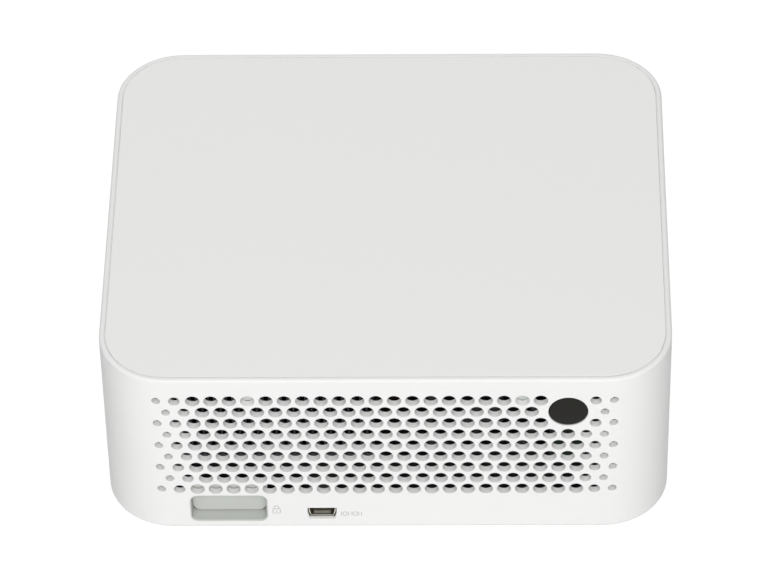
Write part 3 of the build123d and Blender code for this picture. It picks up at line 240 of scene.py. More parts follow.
def noise(tree, where, scale, detail=2.0, stretch=None):
    """Grey noise between 0 and 1; stretch squeezes it along the axes, as brushing does."""
    if stretch:
        where = tree.add("ShaderNodeMapping", {"Vector": where, "Scale": stretch})[0]
    values = {"Vector": where, "Scale": scale, "Detail": detail}
    return tree.add("ShaderNodeTexNoise", values)[0]


def bump(tree, height, depth, strength=1.0):
    values = {"Height": height, "Distance": depth, "Strength": strength}
    return tree.add("ShaderNodeBump", values)[0]

# %% [markdown]
# Moulded, worked and coated surfaces differ in what breaks up their shine: a fine pitted grain,
# long parallel lines, or almost nothing. So there are three makers.


# %% Plastic, metal and glass
def plastic(name, colour, rough=0.45, grain=0.35 * mm, depth=0.012 * mm, mottle=0.02, shine=0.5):
    """Moulded plastic: a spark-eroded grain and a faint drift of shade over the part."""
    tree, shader, where = start_finish(name)
    drift = noise(tree, where, 28.0, 3.0)
    darker = tuple(c * (1 - mottle) for c in colour[:3]) + (1.0,)
    fine = noise(tree, where, 1 / grain, 2.0)
    connect(tree, shader, Base_Color=colour_mix(tree, drift.step(0.35, 0.65), darker, colour),
            Roughness=fine * 0.12 + (rough - 0.06), Normal=bump(tree, fine, depth),
            Specular_IOR_Level=shine)


def metal(name, colour, rough=0.3, stretch=(1.0, 12.0, 12.0), mottle=0.12, scale=900.0):
    """Rolled or turned metal: fine lines along the way it was worked."""
    tree, shader, where = start_finish(name)
    lines = noise(tree, where, scale, 3.0, stretch)
    cloud = noise(tree, where, 60.0, 2.0)
    darker = tuple(c * (1 - mottle) for c in colour[:3]) + (1.0,)
    connect(tree, shader, Base_Color=colour_mix(tree, cloud, darker, colour), Metallic=1.0,
            Roughness=lines * 0.2 + (rough - 0.1), Normal=bump(tree, lines, 0.01 * mm, 0.6))


def glass(name, tint, coat):
    """A coated lens: clear inside, with a coloured sheen that the coating gives at an angle."""
    tree, shader, where = start_finish(name)
    dust = noise(tree, where, 500.0, 2.0)
    edge = tree.add("ShaderNodeLayerWeight", {"Blend": 0.35})["Facing"]
    connect(tree, shader, Base_Color=colour_mix(tree, edge, tint, coat),
            Roughness=dust * 0.02 + 0.01, IOR=1.6, Transmission_Weight=0.85)


print("finish makers ready")

# %% [markdown]
# ## One finish for each material slot
# The record names a slot for every part. Each slot's finish is made here, in one line, so all the
# colours of the object stand together.


# %% Finishes by slot
def top_finish(name, colour, inside, painted_shade_below):
    """The lid's fine grain above, and painted shade: a darker grey on its edge and the hooks under
    it.
    """
    tree, shader, where = start_finish(name)
    _, _, height = tree.split(where)
    fine = noise(tree, where, 1 / (0.5 * mm), 2.0)
    # painted shade: below the given height the lid takes the darker grey
    connect(tree, shader, Base_Color=colour_mix(tree, height > painted_shade_below, inside, colour),
            Roughness=fine * 0.1 + 0.5, Normal=bump(tree, fine, 0.006 * mm),
            Specular_IOR_Level=0.15)


def socket_finish(name, sheet, inside, mouths):
    """Sheet metal round a socket's mouth, and black plastic inside it."""
    tree, shader, where = start_finish(name)
    _, along, height = tree.split(where)
    black = 0.0
    for mouth in mouths:
        y, z, width, tall = (size * mm for size in mouth)
        here = ((along - y).size() < width / 2) * ((height - z).size() < tall / 2)
        black = here if black == 0.0 else black.most(here)
    fine = noise(tree, where, 1200.0, 2.0)
    connect(tree, shader, Base_Color=colour_mix(tree, black, sheet, inside), Metallic=1 - black,
            Roughness=fine * 0.15 + 0.25, Normal=bump(tree, fine, 0.004 * mm))


# middle along the wall, middle height, width and height of the three black mouths, in mm
mouths = [(-10, 29.4, 14.0, 4.5), (8, 29.5, 12.2, 4.8), (22, 28.2, 8.2, 2.5)]
plastic("white_shell", srgb(235, 235, 234), rough=0.5, depth=0.006 * mm, mottle=0.008, shine=0.15)
# the second grey is painted shade on the lid's edge and on its hooks behind the vents
top_finish("grey_panel", srgb(238, 238, 236), srgb(218, 218, 215), 59.97 * mm)
plastic("base_plastic", srgb(70, 70, 72), rough=0.6, depth=0.02 * mm)
plastic("pocket_grey", srgb(194, 197, 192), rough=0.5, mottle=0.01, shine=0.15)
plastic("foot_rubber", srgb(38, 38, 39), rough=0.85, grain=0.25 * mm, depth=0.03 * mm)
metal("screw_steel", srgb(150, 150, 153), rough=0.32)
metal("insert_brass", srgb(190, 164, 110), rough=0.3)
plastic("ir_smoke", srgb(28, 27, 23), rough=0.2, grain=2 * mm, depth=0.0, shine=0.14)
plastic("board_green", srgb(16, 44, 28), rough=0.5, grain=1.2 * mm, mottle=0.3, shine=0.3)
socket_finish("socket_metal", srgb(214, 210, 198), srgb(26, 26, 24), mouths)
plastic("socket_black", srgb(28, 28, 28), rough=0.4)
plastic("tongue_grey", srgb(96, 95, 88), rough=0.45)
# painted shade: the deck and the drive case are near black so that the inside of the body reads dark
# through the vents
plastic("deck_steel", srgb(30, 30, 32), rough=0.5, grain=0.8 * mm)
plastic("case_steel", srgb(38, 38, 40), rough=0.45, grain=0.8 * mm, shine=0.4)
plastic("button_white", srgb(232, 232, 230), rough=0.35, mottle=0.006, shine=0.3)
metal("engine_cast", srgb(120, 120, 124), rough=0.55, stretch=(1, 1, 1), scale=1500.0)
plastic("led_white", srgb(226, 226, 220), rough=0.4)
metal("copper", srgb(46, 38, 34), rough=0.55, mottle=0.2)
metal("fin_metal", srgb(92, 92, 96), rough=0.4, stretch=(1, 1, 12))
metal("sink_metal", srgb(180, 182, 186), rough=0.35)
plastic("fan_black", srgb(32, 32, 33), rough=0.5)
plastic("lens_black", srgb(34, 34, 36), rough=0.38, depth=0.015 * mm)
plastic("ring_grey", srgb(92, 93, 95), rough=0.45)
metal("barrel_black", srgb(40, 40, 42), rough=0.42, stretch=(12, 1, 12))
glass("lens_glass", srgb(190, 205, 225), srgb(150, 110, 210))
plastic("speaker_frame", srgb(36, 36, 37), rough=0.55)
plastic("speaker_cone", srgb(44, 43, 42), rough=0.8, grain=0.3 * mm, depth=0.04 * mm)
plastic("tray_black", srgb(40, 40, 42), rough=0.42, depth=0.02 * mm)
metal("chrome_rod", srgb(214, 214, 216), rough=0.14)
metal("motor_steel", srgb(182, 182, 184), rough=0.3)
plastic("sled_grey", srgb(58, 59, 62), rough=0.5)
glass("sled_lens", srgb(180, 190, 225), srgb(120, 120, 220))
slot_of = {row["node"]: row["material_slot"] for row in frame["record"]["subparts"]}
for name, node in frame["nodes"].items():
    node.data.materials.clear()
    node.data.materials.append(finishes[slot_of[name]])
print("finishes", len(finishes), "on", len(slot_of), "nodes")

# %% [markdown]
# ## Floor and light
# The photograph has a white ground and soft light that comes from the camera's side. Here a broad
# lamp stands above the camera, two weak ones fill the far side, and a grey world does the rest. The
# world is darker to the left and right, as beside two black screens, so the flanks fall away from
# the bright wall. The floor looks white to the camera because part of its colour is emitted, and
# the rest is lit, which keeps the object's soft shadow.


# %% Floor, world and lamps
bpy.context.scene.view_settings.view_transform = "Standard"


def white_to_camera(tree, lit, white):
    """The white shader for the camera, mirrors and glass, and the lit one for all else."""
    rays = tree.add("ShaderNodeLightPath")
    seen = rays["Is Camera Ray"].most(rays["Is Glossy Ray"]).most(rays["Is Transmission Ray"])
    return tree.add("ShaderNodeMixShader", [seen, lit, white])[0]


floor_mesh = bpy.data.meshes.new("floor")
reach = 6.0
corners = [(-reach, -reach, 0), (reach, -reach, 0), (reach, reach, 0), (-reach, reach, 0)]
floor_mesh.from_pydata(corners, [], [(0, 1, 2, 3)])
floor = new_object("floor", floor_mesh)
floor_paint = bpy.data.materials.new("floor_paint")
paint = fresh_tree(floor_paint)
matt = paint.add("ShaderNodeBsdfDiffuse", {"Color": (0.7, 0.7, 0.7, 1)})[0]
soft = paint.add("ShaderNodeBsdfDiffuse", {"Color": (0.3, 0.3, 0.3, 1)})[0]
glow = paint.add("ShaderNodeEmission", {"Color": (1, 1, 1, 1), "Strength": 0.82})[0]
bright = paint.add("ShaderNodeAddShader", [soft, glow])[0]
paint.add("ShaderNodeOutputMaterial", {"Surface": white_to_camera(paint, matt, bright)})
floor_mesh.materials.append(floor_paint)

world = bpy.data.worlds.new("studio")
bpy.context.scene.world = world
sky = fresh_tree(world)
sideways, _, _ = sky.split(sky.add("ShaderNodeTexCoord")["Generated"])
level = 0.45 - 0.43 * sideways.size().step(0.5, 1.0)
grey = sky.add("ShaderNodeBackground", {"Color": (1, 1, 1, 1), "Strength": level})[0]
white = sky.add("ShaderNodeBackground", {"Color": (1, 1, 1, 1), "Strength": 1.0})[0]
sky.add("ShaderNodeOutputWorld", {"Surface": white_to_camera(sky, grey, white)})


def lamp(name, place, aim, width, power):
    """A square soft light that stands at a place and faces a point."""
    data = bpy.data.lights.new(name, "AREA")
    data.shape, data.size, data.energy = "SQUARE", width, power
    made = new_object(name, data)
    made.location = place
    made.rotation_mode = "QUATERNION"
    made.rotation_quaternion = (Vector(aim) - Vector(place)).to_track_quat("-Z", "Y")


lamp("key", (0.03, -2.07, 1.58), (0, 0, 0.03), 1.4, 49.5)
lamp("back_fill", (0, 0.58, 0.7), (0, 0.04, 0.05), 0.5, 0.7)
lamp("front_fill", (-0.7, 1.7, 0.9), (0, 0, 0.03), 1.2, 4.0)
print("floor, world and lamps set")

# %% [markdown]
# ## The shell
# The body is one white moulding: a rounded square wall with softly rolled edges, pierced at the
# back and front by a honeycomb of vents. A box with holes cut by booleans shades badly, because
# every hole tears the smooth surface. So the wall is laid out flat, like sheet metal before it is
# bent: holes are drawn in it, the sheet is filled, and then it is wrapped round the body.

# %% Sizes of the body
half_x, half_y, corner = 80 * mm, 68.5 * mm, 19 * mm
core_x, core_y = half_x - corner, half_y - corner
wall = 2.4 * mm
shell_low, shell_high = 0.6 * mm, 60 * mm
roll_top, roll_low = 0.8 * mm, 1.6 * mm
vent_wall = 2.15 * mm
rim = 1.5 * mm
panel_low = 58.2 * mm
field_half = 65.95 * mm
field_low, field_high = 14.2416 * mm, 54.28 * mm
front_low, front_end = 27.4716 * mm, 12.38 * mm
soften = 0.14 * mm
flat_low, flat_high = shell_low + roll_low, shell_high - roll_top
levels = [flat_low, field_low, front_low, field_high, flat_high]


def clamp(value, limit):
    return max(-limit, min(limit, value))


def wall_reach(x, inset=0.0):
    """How far out the front and rear walls stand at this x."""
    return core_y + sqrt((corner - inset) ** 2 - (x - clamp(x, core_x)) ** 2)


bend_x = [core_x + (field_half - core_x) * k / 3 for k in range(1, 4)]
stations = [-x for x in reversed(bend_x)] + [-core_x, core_x] + bend_x
corner_turns = 16


def outline(inset):
    """Points round the body at this inset, at the same stations for every inset."""
    radius = corner - inset
    rear = [(x, -wall_reach(x, inset)) for x in stations]
    start = asin((field_half - core_x) / radius)
    turns = [start + (pi / 2 - start) * k / corner_turns for k in range(1, corner_turns + 1)]
    bend = [(core_x + radius * sin(a), -core_y - radius * cos(a)) for a in turns]
    return (rear + bend + [(x, -y) for x, y in (rear + bend)[::-1]]
            + [(-x, -y) for x, y in bend] + [(-x, y) for x, y in reversed(bend)])


def outward(x, y):
    return Vector((x - clamp(x, core_x), y - clamp(y, core_y), 0.0)).normalized()


print("stations round the body:", len(outline(0)))

# %% [markdown]
# ### A skin that keeps its own normals
# A renderer guesses normals from the faces round a point, and long thin faces mislead it. Here
# every point is given the normal of the true surface when it is made.


# %% The skin
class Skin:
    """Faces gathered with an exact normal at every point, then made one mesh."""

    def __init__(self):
        self.points, self.normals, self.faces = [], [], []

    def add(self, points, normals, faces):
        base = len(self.points)
        self.points += [Vector(p) for p in points]
        self.normals += [Vector(n).normalized() for n in normals]
        for face in faces:
            face = [base + i for i in face]
            a, b, c = (self.points[i] for i in face[:3])
            lean = sum((self.normals[i] for i in face), Vector())
            self.faces.append(face if (b - a).cross(c - b).dot(lean) >= 0 else face[::-1])

    def bands(self, rows, normals, closed=True, skip=None):
        """A grid of quads between rows of points."""
        count = len(rows[0])
        faces = []
        for r in range(len(rows) - 1):
            for c in range(count if closed else count - 1):
                if skip is None or not skip(c):
                    low, high, d = r * count, (r + 1) * count, (c + 1) % count
                    faces.append((low + c, low + d, high + d, high + c))
        self.add([p for row in rows for p in row], [n for row in normals for n in row], faces)

    def piece(self, name, body, slot, *stands_for, finish=None):
        """One mesh of all the faces, in its slot's finish or in one of its own."""
        made = bpy.data.meshes.new(name)
        made.from_pydata([tuple(p) for p in self.points], [], self.faces)
        made.materials.append(finishes[finish or slot])
        made.polygons.foreach_set("use_smooth", [True] * len(made.polygons))
        made.normals_split_custom_set_from_vertices([tuple(n) for n in self.normals])
        made.validate()
        made.update()
        settle(name, made, body, slot, *stands_for)


def settle(name, made, body, slot, *stands_for):
    """Puts a finished mesh in the scene on its body, and hides the parts it stands for; the slot is
    not used.
    """
    thing = new_object(name, made)
    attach(thing, body)
    if stands_for:
        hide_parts(*stands_for)
    print(thing.name, len(thing.data.polygons), "faces")


shell = Skin()


def rolled_ring(profile):
    """One strip all round the body, from (inset, height, lean) rows; lean turns the normal up."""
    rows, normals = [], []
    for inset, z, lean in profile:
        ring = outline(inset)
        rows.append([(x, y, z) for x, y in ring])
        normals.append([outward(x, y) * cos(lean) + Vector((0, 0, sin(lean))) for x, y in ring])
    shell.bands(rows, normals)


quarter = [k * pi / 12 for k in range(7)]
skirt_top, low_cut, high_cut = 3.0 * mm, 0.2 * mm, 0.15 * mm
seam_floor, step_in, ledge_in = shell_high - 0.3 * mm, rim + 0.14 * mm, 6 * mm
rolled_ring([(wall, skirt_top, pi), (wall, shell_low + low_cut, pi)])
rolled_ring([(wall, shell_low + low_cut, -pi * 0.75), (wall - low_cut, shell_low, -pi * 0.6)])
rolled_ring([(wall - low_cut, shell_low, -pi / 2)]
            + [(roll_low * (1 - cos(a)), flat_low - roll_low * sin(a), -a)
               for a in reversed(quarter)])
rolled_ring([(roll_top * (1 - cos(a)), flat_high + roll_top * sin(a), a) for a in quarter]
            + [(rim - high_cut, shell_high, pi / 2), (rim, shell_high - high_cut, pi * 0.9)])
rolled_ring([(rim, shell_high - high_cut, pi), (rim, seam_floor, pi)])
rolled_ring([(rim, seam_floor, pi / 2), (step_in, seam_floor, pi / 2)])
rolled_ring([(step_in, seam_floor, pi), (step_in, panel_low, pi)])
rolled_ring([(step_in, panel_low, pi / 2), (ledge_in, panel_low, pi / 2)])

# %% The corners of the wall
ring = outline(0)
per_half = len(ring) // 2
rear_count = len(stations)


def is_sheet(c):
    """The stretches of the ring that the flat sheets below fill instead."""
    past_rear = (c - rear_count + 1) % per_half
    return c % per_half < rear_count - 1 or past_rear == corner_turns


shell.bands([[(x, y, z) for x, y in ring] for z in levels],
            [[outward(x, y) for x, y in ring] for _ in levels], skip=is_sheet)
print("corner faces", len(shell.faces))

# %% [markdown]
# ### Openings in a flat sheet
# An opening has a softly rounded rim and a wall as deep as the moulding is thick. Both are a few
# rings of points: the first lies in the sheet, and each next one is moved in and back along a
# quarter circle. The sheet between the openings is filled by a constrained triangulation, which
# keeps every edge it is given.


# %% Openings
def circle(x, z, radius, count=32):
    angles = [2 * pi * k / count for k in range(count)]
    return [(x + radius * cos(a), z + radius * sin(a)) for a in angles]


def rounded(x, z, width, height, radius, count=6):
    """A rectangle with round corners about a centre, anticlockwise."""
    loop = []
    for sx, sz, first in ((1, 1, 0), (-1, 1, 1), (-1, -1, 2), (1, -1, 3)):
        for k in range(count + 1):
            a = (first + k / count) * pi / 2
            loop.append((x + sx * (width / 2 - radius) + radius * cos(a),
                         z + sz * (height / 2 - radius) + radius * sin(a)))
    return loop


def edge_normals(loop):
    """The direction away from the opening's middle at each corner of a loop."""
    found = []
    for k, here in enumerate(loop):
        before, after = loop[k - 1], loop[(k + 1) % len(loop)]
        way = Vector((after[0] - before[0], after[1] - before[1]))
        found.append(Vector((way.y, -way.x)).normalized())
    return found


def grown(loop, by):
    """The loop with every point moved outward."""
    return [(p[0] + n.x * by, p[1] + n.y * by) for p, n in zip(loop, edge_normals(loop))]


def within(point, loop):
    """Whether a point is inside a loop: a ray from it crosses the edge an odd number of times."""
    x, y = point
    inside = False
    for (ax, ay), (bx, by) in zip(loop, loop[1:] + loop[:1]):
        if (ay > y) != (by > y) and x < (bx - ax) * (y - ay) / (by - ay) + ax:
            inside = not inside
    return inside


class Side:
    """One wall of the body as a flat sheet: u runs along it, z up, depth inwards."""

    def __init__(self, axis, sign):
        self.axis, self.sign = axis, sign

    def put(self, u, z, depth=0.0):
        if self.axis == "y":
            return Vector((u, self.sign * (wall_reach(u) - depth), z))
        return Vector((self.sign * (half_x - depth), u, z))

    def normal(self, u):
        if self.axis == "y":
            return outward(u, self.sign * wall_reach(u))
        return Vector((self.sign, 0, 0))

    def along(self, n):
        """A direction in the sheet, as a direction in space."""
        return Vector((n.x, 0, n.y)) if self.axis == "y" else Vector((0, n.x, n.y))

    def rings(self, skin, loop, rows, cap=False):
        """Rings of a loop at (inset, depth, lean) rows; lean turns the normal to the middle."""
        pairs = list(zip(loop, edge_normals(loop)))
        points = [[self.put(p[0] - n.x * inset, p[1] - n.y * inset, depth) for p, n in pairs]
                  for inset, depth, _ in rows]
        normals = [[self.normal(p[0]) * cos(lean) - self.along(n) * sin(lean) for p, n in pairs]
                   for _, _, lean in rows]
        skin.bands(points, normals)
        if cap:
            skin.add(points[-1], [self.normal(p[0]) for p in loop], [range(len(loop))])

    def opening(self, loop, depth=wall, round_by=soften):
        """The rounded rim and inner wall of an opening; gives back the loop left in the sheet."""
        steps = [(-round_by * (1 - sin(a)), round_by * (1 - cos(a)), a) for a in quarter[::2]]
        self.rings(shell, loop, steps + [(0.0, depth, pi / 2)])
        return grown(loop, round_by)

    def sheet(self, u_stops, z_stops, holes, uprights=()):
        """Fills the wall between its outer stops and round its holes."""
        low, high, inner = z_stops[0], z_stops[-1], z_stops[1:-1]
        border = ([(u, low) for u in u_stops] + [(u_stops[-1], z) for z in inner]
                  + [(u, high) for u in reversed(u_stops)] + [(u_stops[0], z) for z in inner[::-1]])
        points, edges = [], []
        for loop in [border] + holes:
            base = len(points)
            points += [Vector(p) for p in loop]
            edges += [(base + k, base + (k + 1) % len(loop)) for k in range(len(loop))]
        for u in uprights:
            points += [Vector((u, low)), Vector((u, high))]
            edges.append((len(points) - 2, len(points) - 1))
        flat, _, faces, *_ = delaunay_2d_cdt(points, edges, [], 0, 1e-7)
        kept = []
        for face in faces:
            middle = sum((flat[i] for i in face), Vector((0, 0))) / len(face)
            if not any(within(middle, hole) for hole in holes):
                kept.append(face)
        used = sorted({i for face in kept for i in face})
        number = {i: k for k, i in enumerate(used)}
        shell.add([self.put(*flat[i]) for i in used], [self.normal(flat[i].x) for i in used],
                  [[number[i] for i in face] for face in kept])
        return len(kept)


rear, front, left, starboard = Side("y", -1), Side("y", 1), Side("x", -1), Side("x", 1)
print("sides ready")

# %% [markdown]
# ### The four walls
# Each wall lists its openings. The vented walls also leave out a field for the vents, and keep an
# upright line at every station, so that the flat sheet bends with the corners.


# %% Sheets with their openings
def field_frame(u_low, u_high, low, high):
    """The edge of a vent field, with the body's stations along it."""
    across = [u_low] + [u for u in stations if u_low < u < u_high] + [u_high]
    return [(u, low) for u in across] + [(u, high) for u in reversed(across)]


def socket_outline(x, low, half, tall, knee, slope):
    """Six corners of the small service socket, wide above and narrow below."""
    right_side = [(half - slope, 0.0), (half, knee), (half, tall)]
    left_side = [(-u, z) for u, z in reversed(right_side)]
    return [(x + u, low + z) for u, z in left_side + right_side]


pocket_x, pocket_z, pocket_wide, pocket_tall = -44.9 * mm, 8.7 * mm, 22.0 * mm, 10.5 * mm
pocket_mouth = rounded(pocket_x, pocket_z, pocket_wide, pocket_tall, 2.3 * mm)
service_x, service_low = -18.5 * mm, 4.37 * mm
service_half, service_tall = 4.12 * mm, 4.46 * mm
service_mouth = socket_outline(service_x, service_low, service_half, service_tall,
                               service_tall / 2, 0.5 * mm)
lens_x, lens_z = 36 * mm, 39.65 * mm
tray_z, tray_wide, tray_tall = 14.4 * mm, 129.4 * mm, 12.2 * mm
rear_loops = [
    field_frame(-field_half, field_half, field_low, field_high),
    rear.opening(pocket_mouth, 0.6 * mm, 0.05 * mm),
    rear.opening(service_mouth, 1.1 * mm, 0.12 * mm),
]
front_field = field_frame(-field_half, front_end, front_low, field_high)
front_loops = [
    front_field,
    front.opening(circle(lens_x, lens_z, 15 * mm, 64)),
    front.opening(rounded(0, tray_z, tray_wide, tray_tall, 0.3 * mm, 2), wall, 0.15 * mm),
]
print("rear", rear.sheet(stations, levels, rear_loops, stations),
      "front", front.sheet(stations, levels, front_loops, stations))

# from the back: power inlet, two wide sockets, a narrow one and the audio socket
board_top = 26.6 * mm
left_loops = [left.opening(loop) for loop in (
    circle(-27 * mm, board_top + 4.75 * mm, 4.0 * mm),
    rounded(-10 * mm, board_top + 2.8 * mm, 15.6 * mm, 6.2 * mm, 0.4 * mm, 2),
    rounded(8 * mm, board_top + 2.9 * mm, 13.8 * mm, 6.4 * mm, 0.4 * mm, 2),
    rounded(22 * mm, board_top + 1.6 * mm, 9.6 * mm, 3.8 * mm, 1.85 * mm),
    circle(34 * mm, board_top + 2.6 * mm, 2.8 * mm),
)]
button_z = 37.7 * mm
right_loops = [starboard.opening(loop) for loop in (
    circle(-30 * mm, button_z, 4.25 * mm),
    circle(-16 * mm, button_z, 4.25 * mm),
    rounded(4 * mm, button_z, 16.6 * mm, 6.6 * mm, 3.2 * mm, 8),
)]
print("left", left.sheet([-core_y, core_y], levels, left_loops),
      "right", starboard.sheet([-core_y, core_y], levels, right_loops))

# %% [markdown]
# ### The vents
# The vents follow one rule: a honeycomb lattice of round holes, smaller in its last two columns,
# with a gap left round the window. Geometry Nodes suit that: a grid is staggered, a circle stands
# on every point, and the curves are filled. The rim of each hole is then extruded in short steps,
# and every new ring is set at its own distance from the centre of the nearest lattice point.


# %% Shared parts of geometry trees
def geometry_tree(name, **labels):
    """An empty geometry group with inputs by kind; gives back the group, its tree and inputs."""
    group = bpy.data.node_groups.new(name, "GeometryNodeTree")
    for way in ("INPUT", "OUTPUT"):
        group.interface.new_socket("Geometry", in_out=way, socket_type="NodeSocketGeometry")
    for kind, names in labels.items():
        for label in names.split(", "):
            socket_type = "NodeSocket" + kind
            group.interface.new_socket(label, in_out="INPUT", socket_type=socket_type)
    tree = Tree(group.nodes, group.links)
    return group, tree, tree.add("NodeGroupInput")


def end_tree(tree, geometry, finish):
    """Makes copies real, because the export drops instances, and gives them their finish."""
    real = tree.add("GeometryNodeRealizeInstances", {"Geometry": geometry})[0]
    values = {"Geometry": real, "Material": finish}
    tree.add("NodeGroupOutput", [tree.add("GeometryNodeSetMaterial", values)[0]])


def store(tree, geometry, name, value, kind="FLOAT", selection=None):
    values = {"Geometry": geometry, "Selection": selection, "Name": name, "Value": value}
    node = "GeometryNodeStoreNamedAttribute"
    return tree.add(node, values, data_type=kind, domain="POINT")[0]


def move(tree, geometry, position, selection=None):
    values = {"Geometry": geometry, "Selection": selection, "Position": position}
    return tree.add("GeometryNodeSetPosition", values)[0]


def drop(tree, geometry, selection):
    values = {"Geometry": geometry, "Selection": selection}
    return tree.add("GeometryNodeDeleteGeometry", values, domain="POINT")[0]


def sample(tree, geometry, value, index, kind):
    """The value at one point of another geometry."""
    values = {"Geometry": geometry, "Value": value, "Index": index}
    return tree.add("GeometryNodeSampleIndex", values, data_type=kind, domain="POINT")[0]


# %% The vent tree
def vent_tree(name):
    """A geometry tree that turns a flat frame of edges into a perforated sheet."""
    group, tree, given = geometry_tree(
        name, Int="Columns, Rows", Material="Finish",
        Float="Pitch, First Row, Hole, Near Hole, Edge Hole, Soften, Wall, Furthest, Window X, "
              "Window Z, Window Gap")
    columns, rows, pitch, soft = (given[k] for k in ("Columns", "Rows", "Pitch", "Soften"))
    rise = pitch * (sqrt(3) / 2)
    here = tree.add("GeometryNodeInputPosition")[0]
    x, y, _ = tree.split(here)

    # the lattice: row and column numbers, and the radius that each hole has
    lattice = tree.add("GeometryNodeMeshGrid", {
        "Size X": (columns - 1) * pitch, "Size Y": (rows - 1) * rise,
        "Vertices X": columns, "Vertices Y": rows})["Mesh"]
    row = ((rows - 1) / 2 - y / rise).whole()
    column = (x / pitch + (columns - 1) / 2).whole()
    odd = row % 2
    from_end = column.least(columns - 1 - odd - column)
    radius = (given["Hole"] - (from_end < 1.5) * (given["Hole"] - given["Near Hole"])
              - (from_end < 0.5) * (given["Near Hole"] - given["Edge Hole"]))
    lattice = store(tree, lattice, "hole", radius)
    lattice = drop(tree, lattice, (column + odd) > columns - 0.5)  # odd rows have one hole less
    spot = tree.join(x + odd * pitch / 2, given["First Row"] - row * rise, 0.0)
    lattice = move(tree, lattice, spot)
    from_window = ((x - given["Window X"]) ** 2 + (y - given["Window Z"]) ** 2).root()
    lattice = drop(tree, lattice, (from_window < given["Window Gap"]).most(x > given["Furthest"]))

    # the flat sheet: the frame's outline and the circles, filled
    hole = tree.add("GeometryNodeInputNamedAttribute", {"Name": "hole"}, data_type="FLOAT")[0]
    circles = {"Resolution": 24, "Radius": 1.0}
    disc = tree.add("GeometryNodeCurvePrimitiveCircle", circles, mode="RADIUS")[0]
    discs = tree.add("GeometryNodeInstanceOnPoints", {
        "Points": lattice, "Instance": disc, "Scale": tree.join(hole + soft, hole + soft, 1.0)})[0]
    discs = tree.add("GeometryNodeRealizeInstances", {"Geometry": discs})[0]
    edge = tree.add("GeometryNodeMeshToCurve", [given["Geometry"]])[0]
    joined = tree.nodes.new("GeometryNodeJoinGeometry")
    for part in (edge, discs):
        tree.links.new(part.socket, joined.inputs[0])
    sheet = tree.add("GeometryNodeFillCurve", [Signal(tree, joined.outputs[0])])[0]

    # the rims: rings round the nearest lattice point, each a little further in and back
    nearest = tree.add("GeometryNodeSampleNearest", {"Geometry": lattice}, domain="POINT")[0]
    centre = sample(tree, lattice, here, nearest, "FLOAT_VECTOR")
    width = sample(tree, lattice, hole, nearest, "FLOAT")
    offset = tree.vector("SUBTRACT", tree.vector("MULTIPLY", here, (1.0, 1.0, 0.0)), centre)
    away, gap = tree.vector("NORMALIZE", offset), tree.vector("LENGTH", offset)
    neighbours = tree.add("GeometryNodeInputMeshEdgeNeighbors")[0]
    selection = (gap < width + soft * 1.2) * (neighbours < 1.5)
    sheet = store(tree, sheet, "lean", 0.0)
    sheet = store(tree, sheet, "away", away, "FLOAT_VECTOR")
    depths = [(lean, soft * (1 - cos(lean))) for lean in quarter[2::2]]
    for lean, depth in depths + [(pi / 2, given["Wall"])]:
        extruded = tree.add("GeometryNodeExtrudeMesh", {
            "Mesh": sheet, "Selection": selection, "Offset Scale": 0.0}, mode="EDGES")
        out = width + soft * (1 - sin(lean))
        spot = tree.vector("ADD", centre, tree.vector("MULTIPLY", away, tree.join(out, out, 0.0)))
        spot = tree.vector("ADD", spot, tree.join(0.0, 0.0, depth))
        selection = extruded["Top"]
        sheet = move(tree, extruded["Mesh"], spot, selection)
        sheet = store(tree, sheet, "lean", lean, selection=selection)
    end_tree(tree, sheet, given["Finish"])
    return group


vents = vent_tree("vent_sheet")
print("vent tree nodes", len(vents.nodes))

# %% [markdown]
# The same tree runs once for the rear wall and once for the front, which has fewer rows and stops
# short of the lens.


# %% The rear and front vent fields
def run_tree(group, base, **inputs):
    """Runs a geometry tree on a mesh and gives back the plain result."""
    holder = new_object("holder", base)
    modifier = holder.modifiers.new("tree", "NODES")
    modifier.node_group = group
    names = {s.name: s.identifier for s in group.interface.items_tree if s.in_out == "INPUT"}
    for label, value in inputs.items():
        modifier[names[label.replace("_", " ")]] = value
    shaped = holder.evaluated_get(bpy.context.evaluated_depsgraph_get())
    made = bpy.data.meshes.new_from_object(shaped)
    holder.modifiers.clear()
    bpy.data.objects.remove(holder)
    return made


def edge_mesh(loops):
    made = bpy.data.meshes.new("frame_edges")
    points, edges = [], []
    for loop in loops:
        base = len(points)
        points += [(u, z, 0.0) for u, z in loop]
        edges += [(base + k, base + (k + 1) % len(loop)) for k in range(len(loop))]
    made.from_pydata(points, edges, [])
    return made


def vent_field(side, loops, **inputs):
    """Runs the vent tree, wraps its flat sheet on a wall and adds it to the shell."""
    flat = run_tree(vents, edge_mesh(loops), Columns=26, Pitch=5.092 * mm, First_Row=51.9 * mm,
                    Hole=1.97 * mm, Near_Hole=1.58 * mm, Edge_Hole=1.2 * mm, Soften=soften,
                    Wall=vent_wall, Finish=finishes["white_shell"], **inputs)
    leans = [d.value for d in flat.attributes["lean"].data]
    aways = [d.vector for d in flat.attributes["away"].data]
    points, normals = [], []
    for vertex, lean, away in zip(flat.vertices, leans, aways):
        u, z, depth = vertex.co
        points.append(side.put(u, z, depth))
        normals.append(side.normal(u) * cos(lean) - side.along(Vector(away).xy) * sin(lean))
    shell.add(points, normals, [list(p.vertices) for p in flat.polygons])
    print("vent field", len(flat.vertices), "points", len(flat.polygons), "faces")
    bpy.data.meshes.remove(flat)


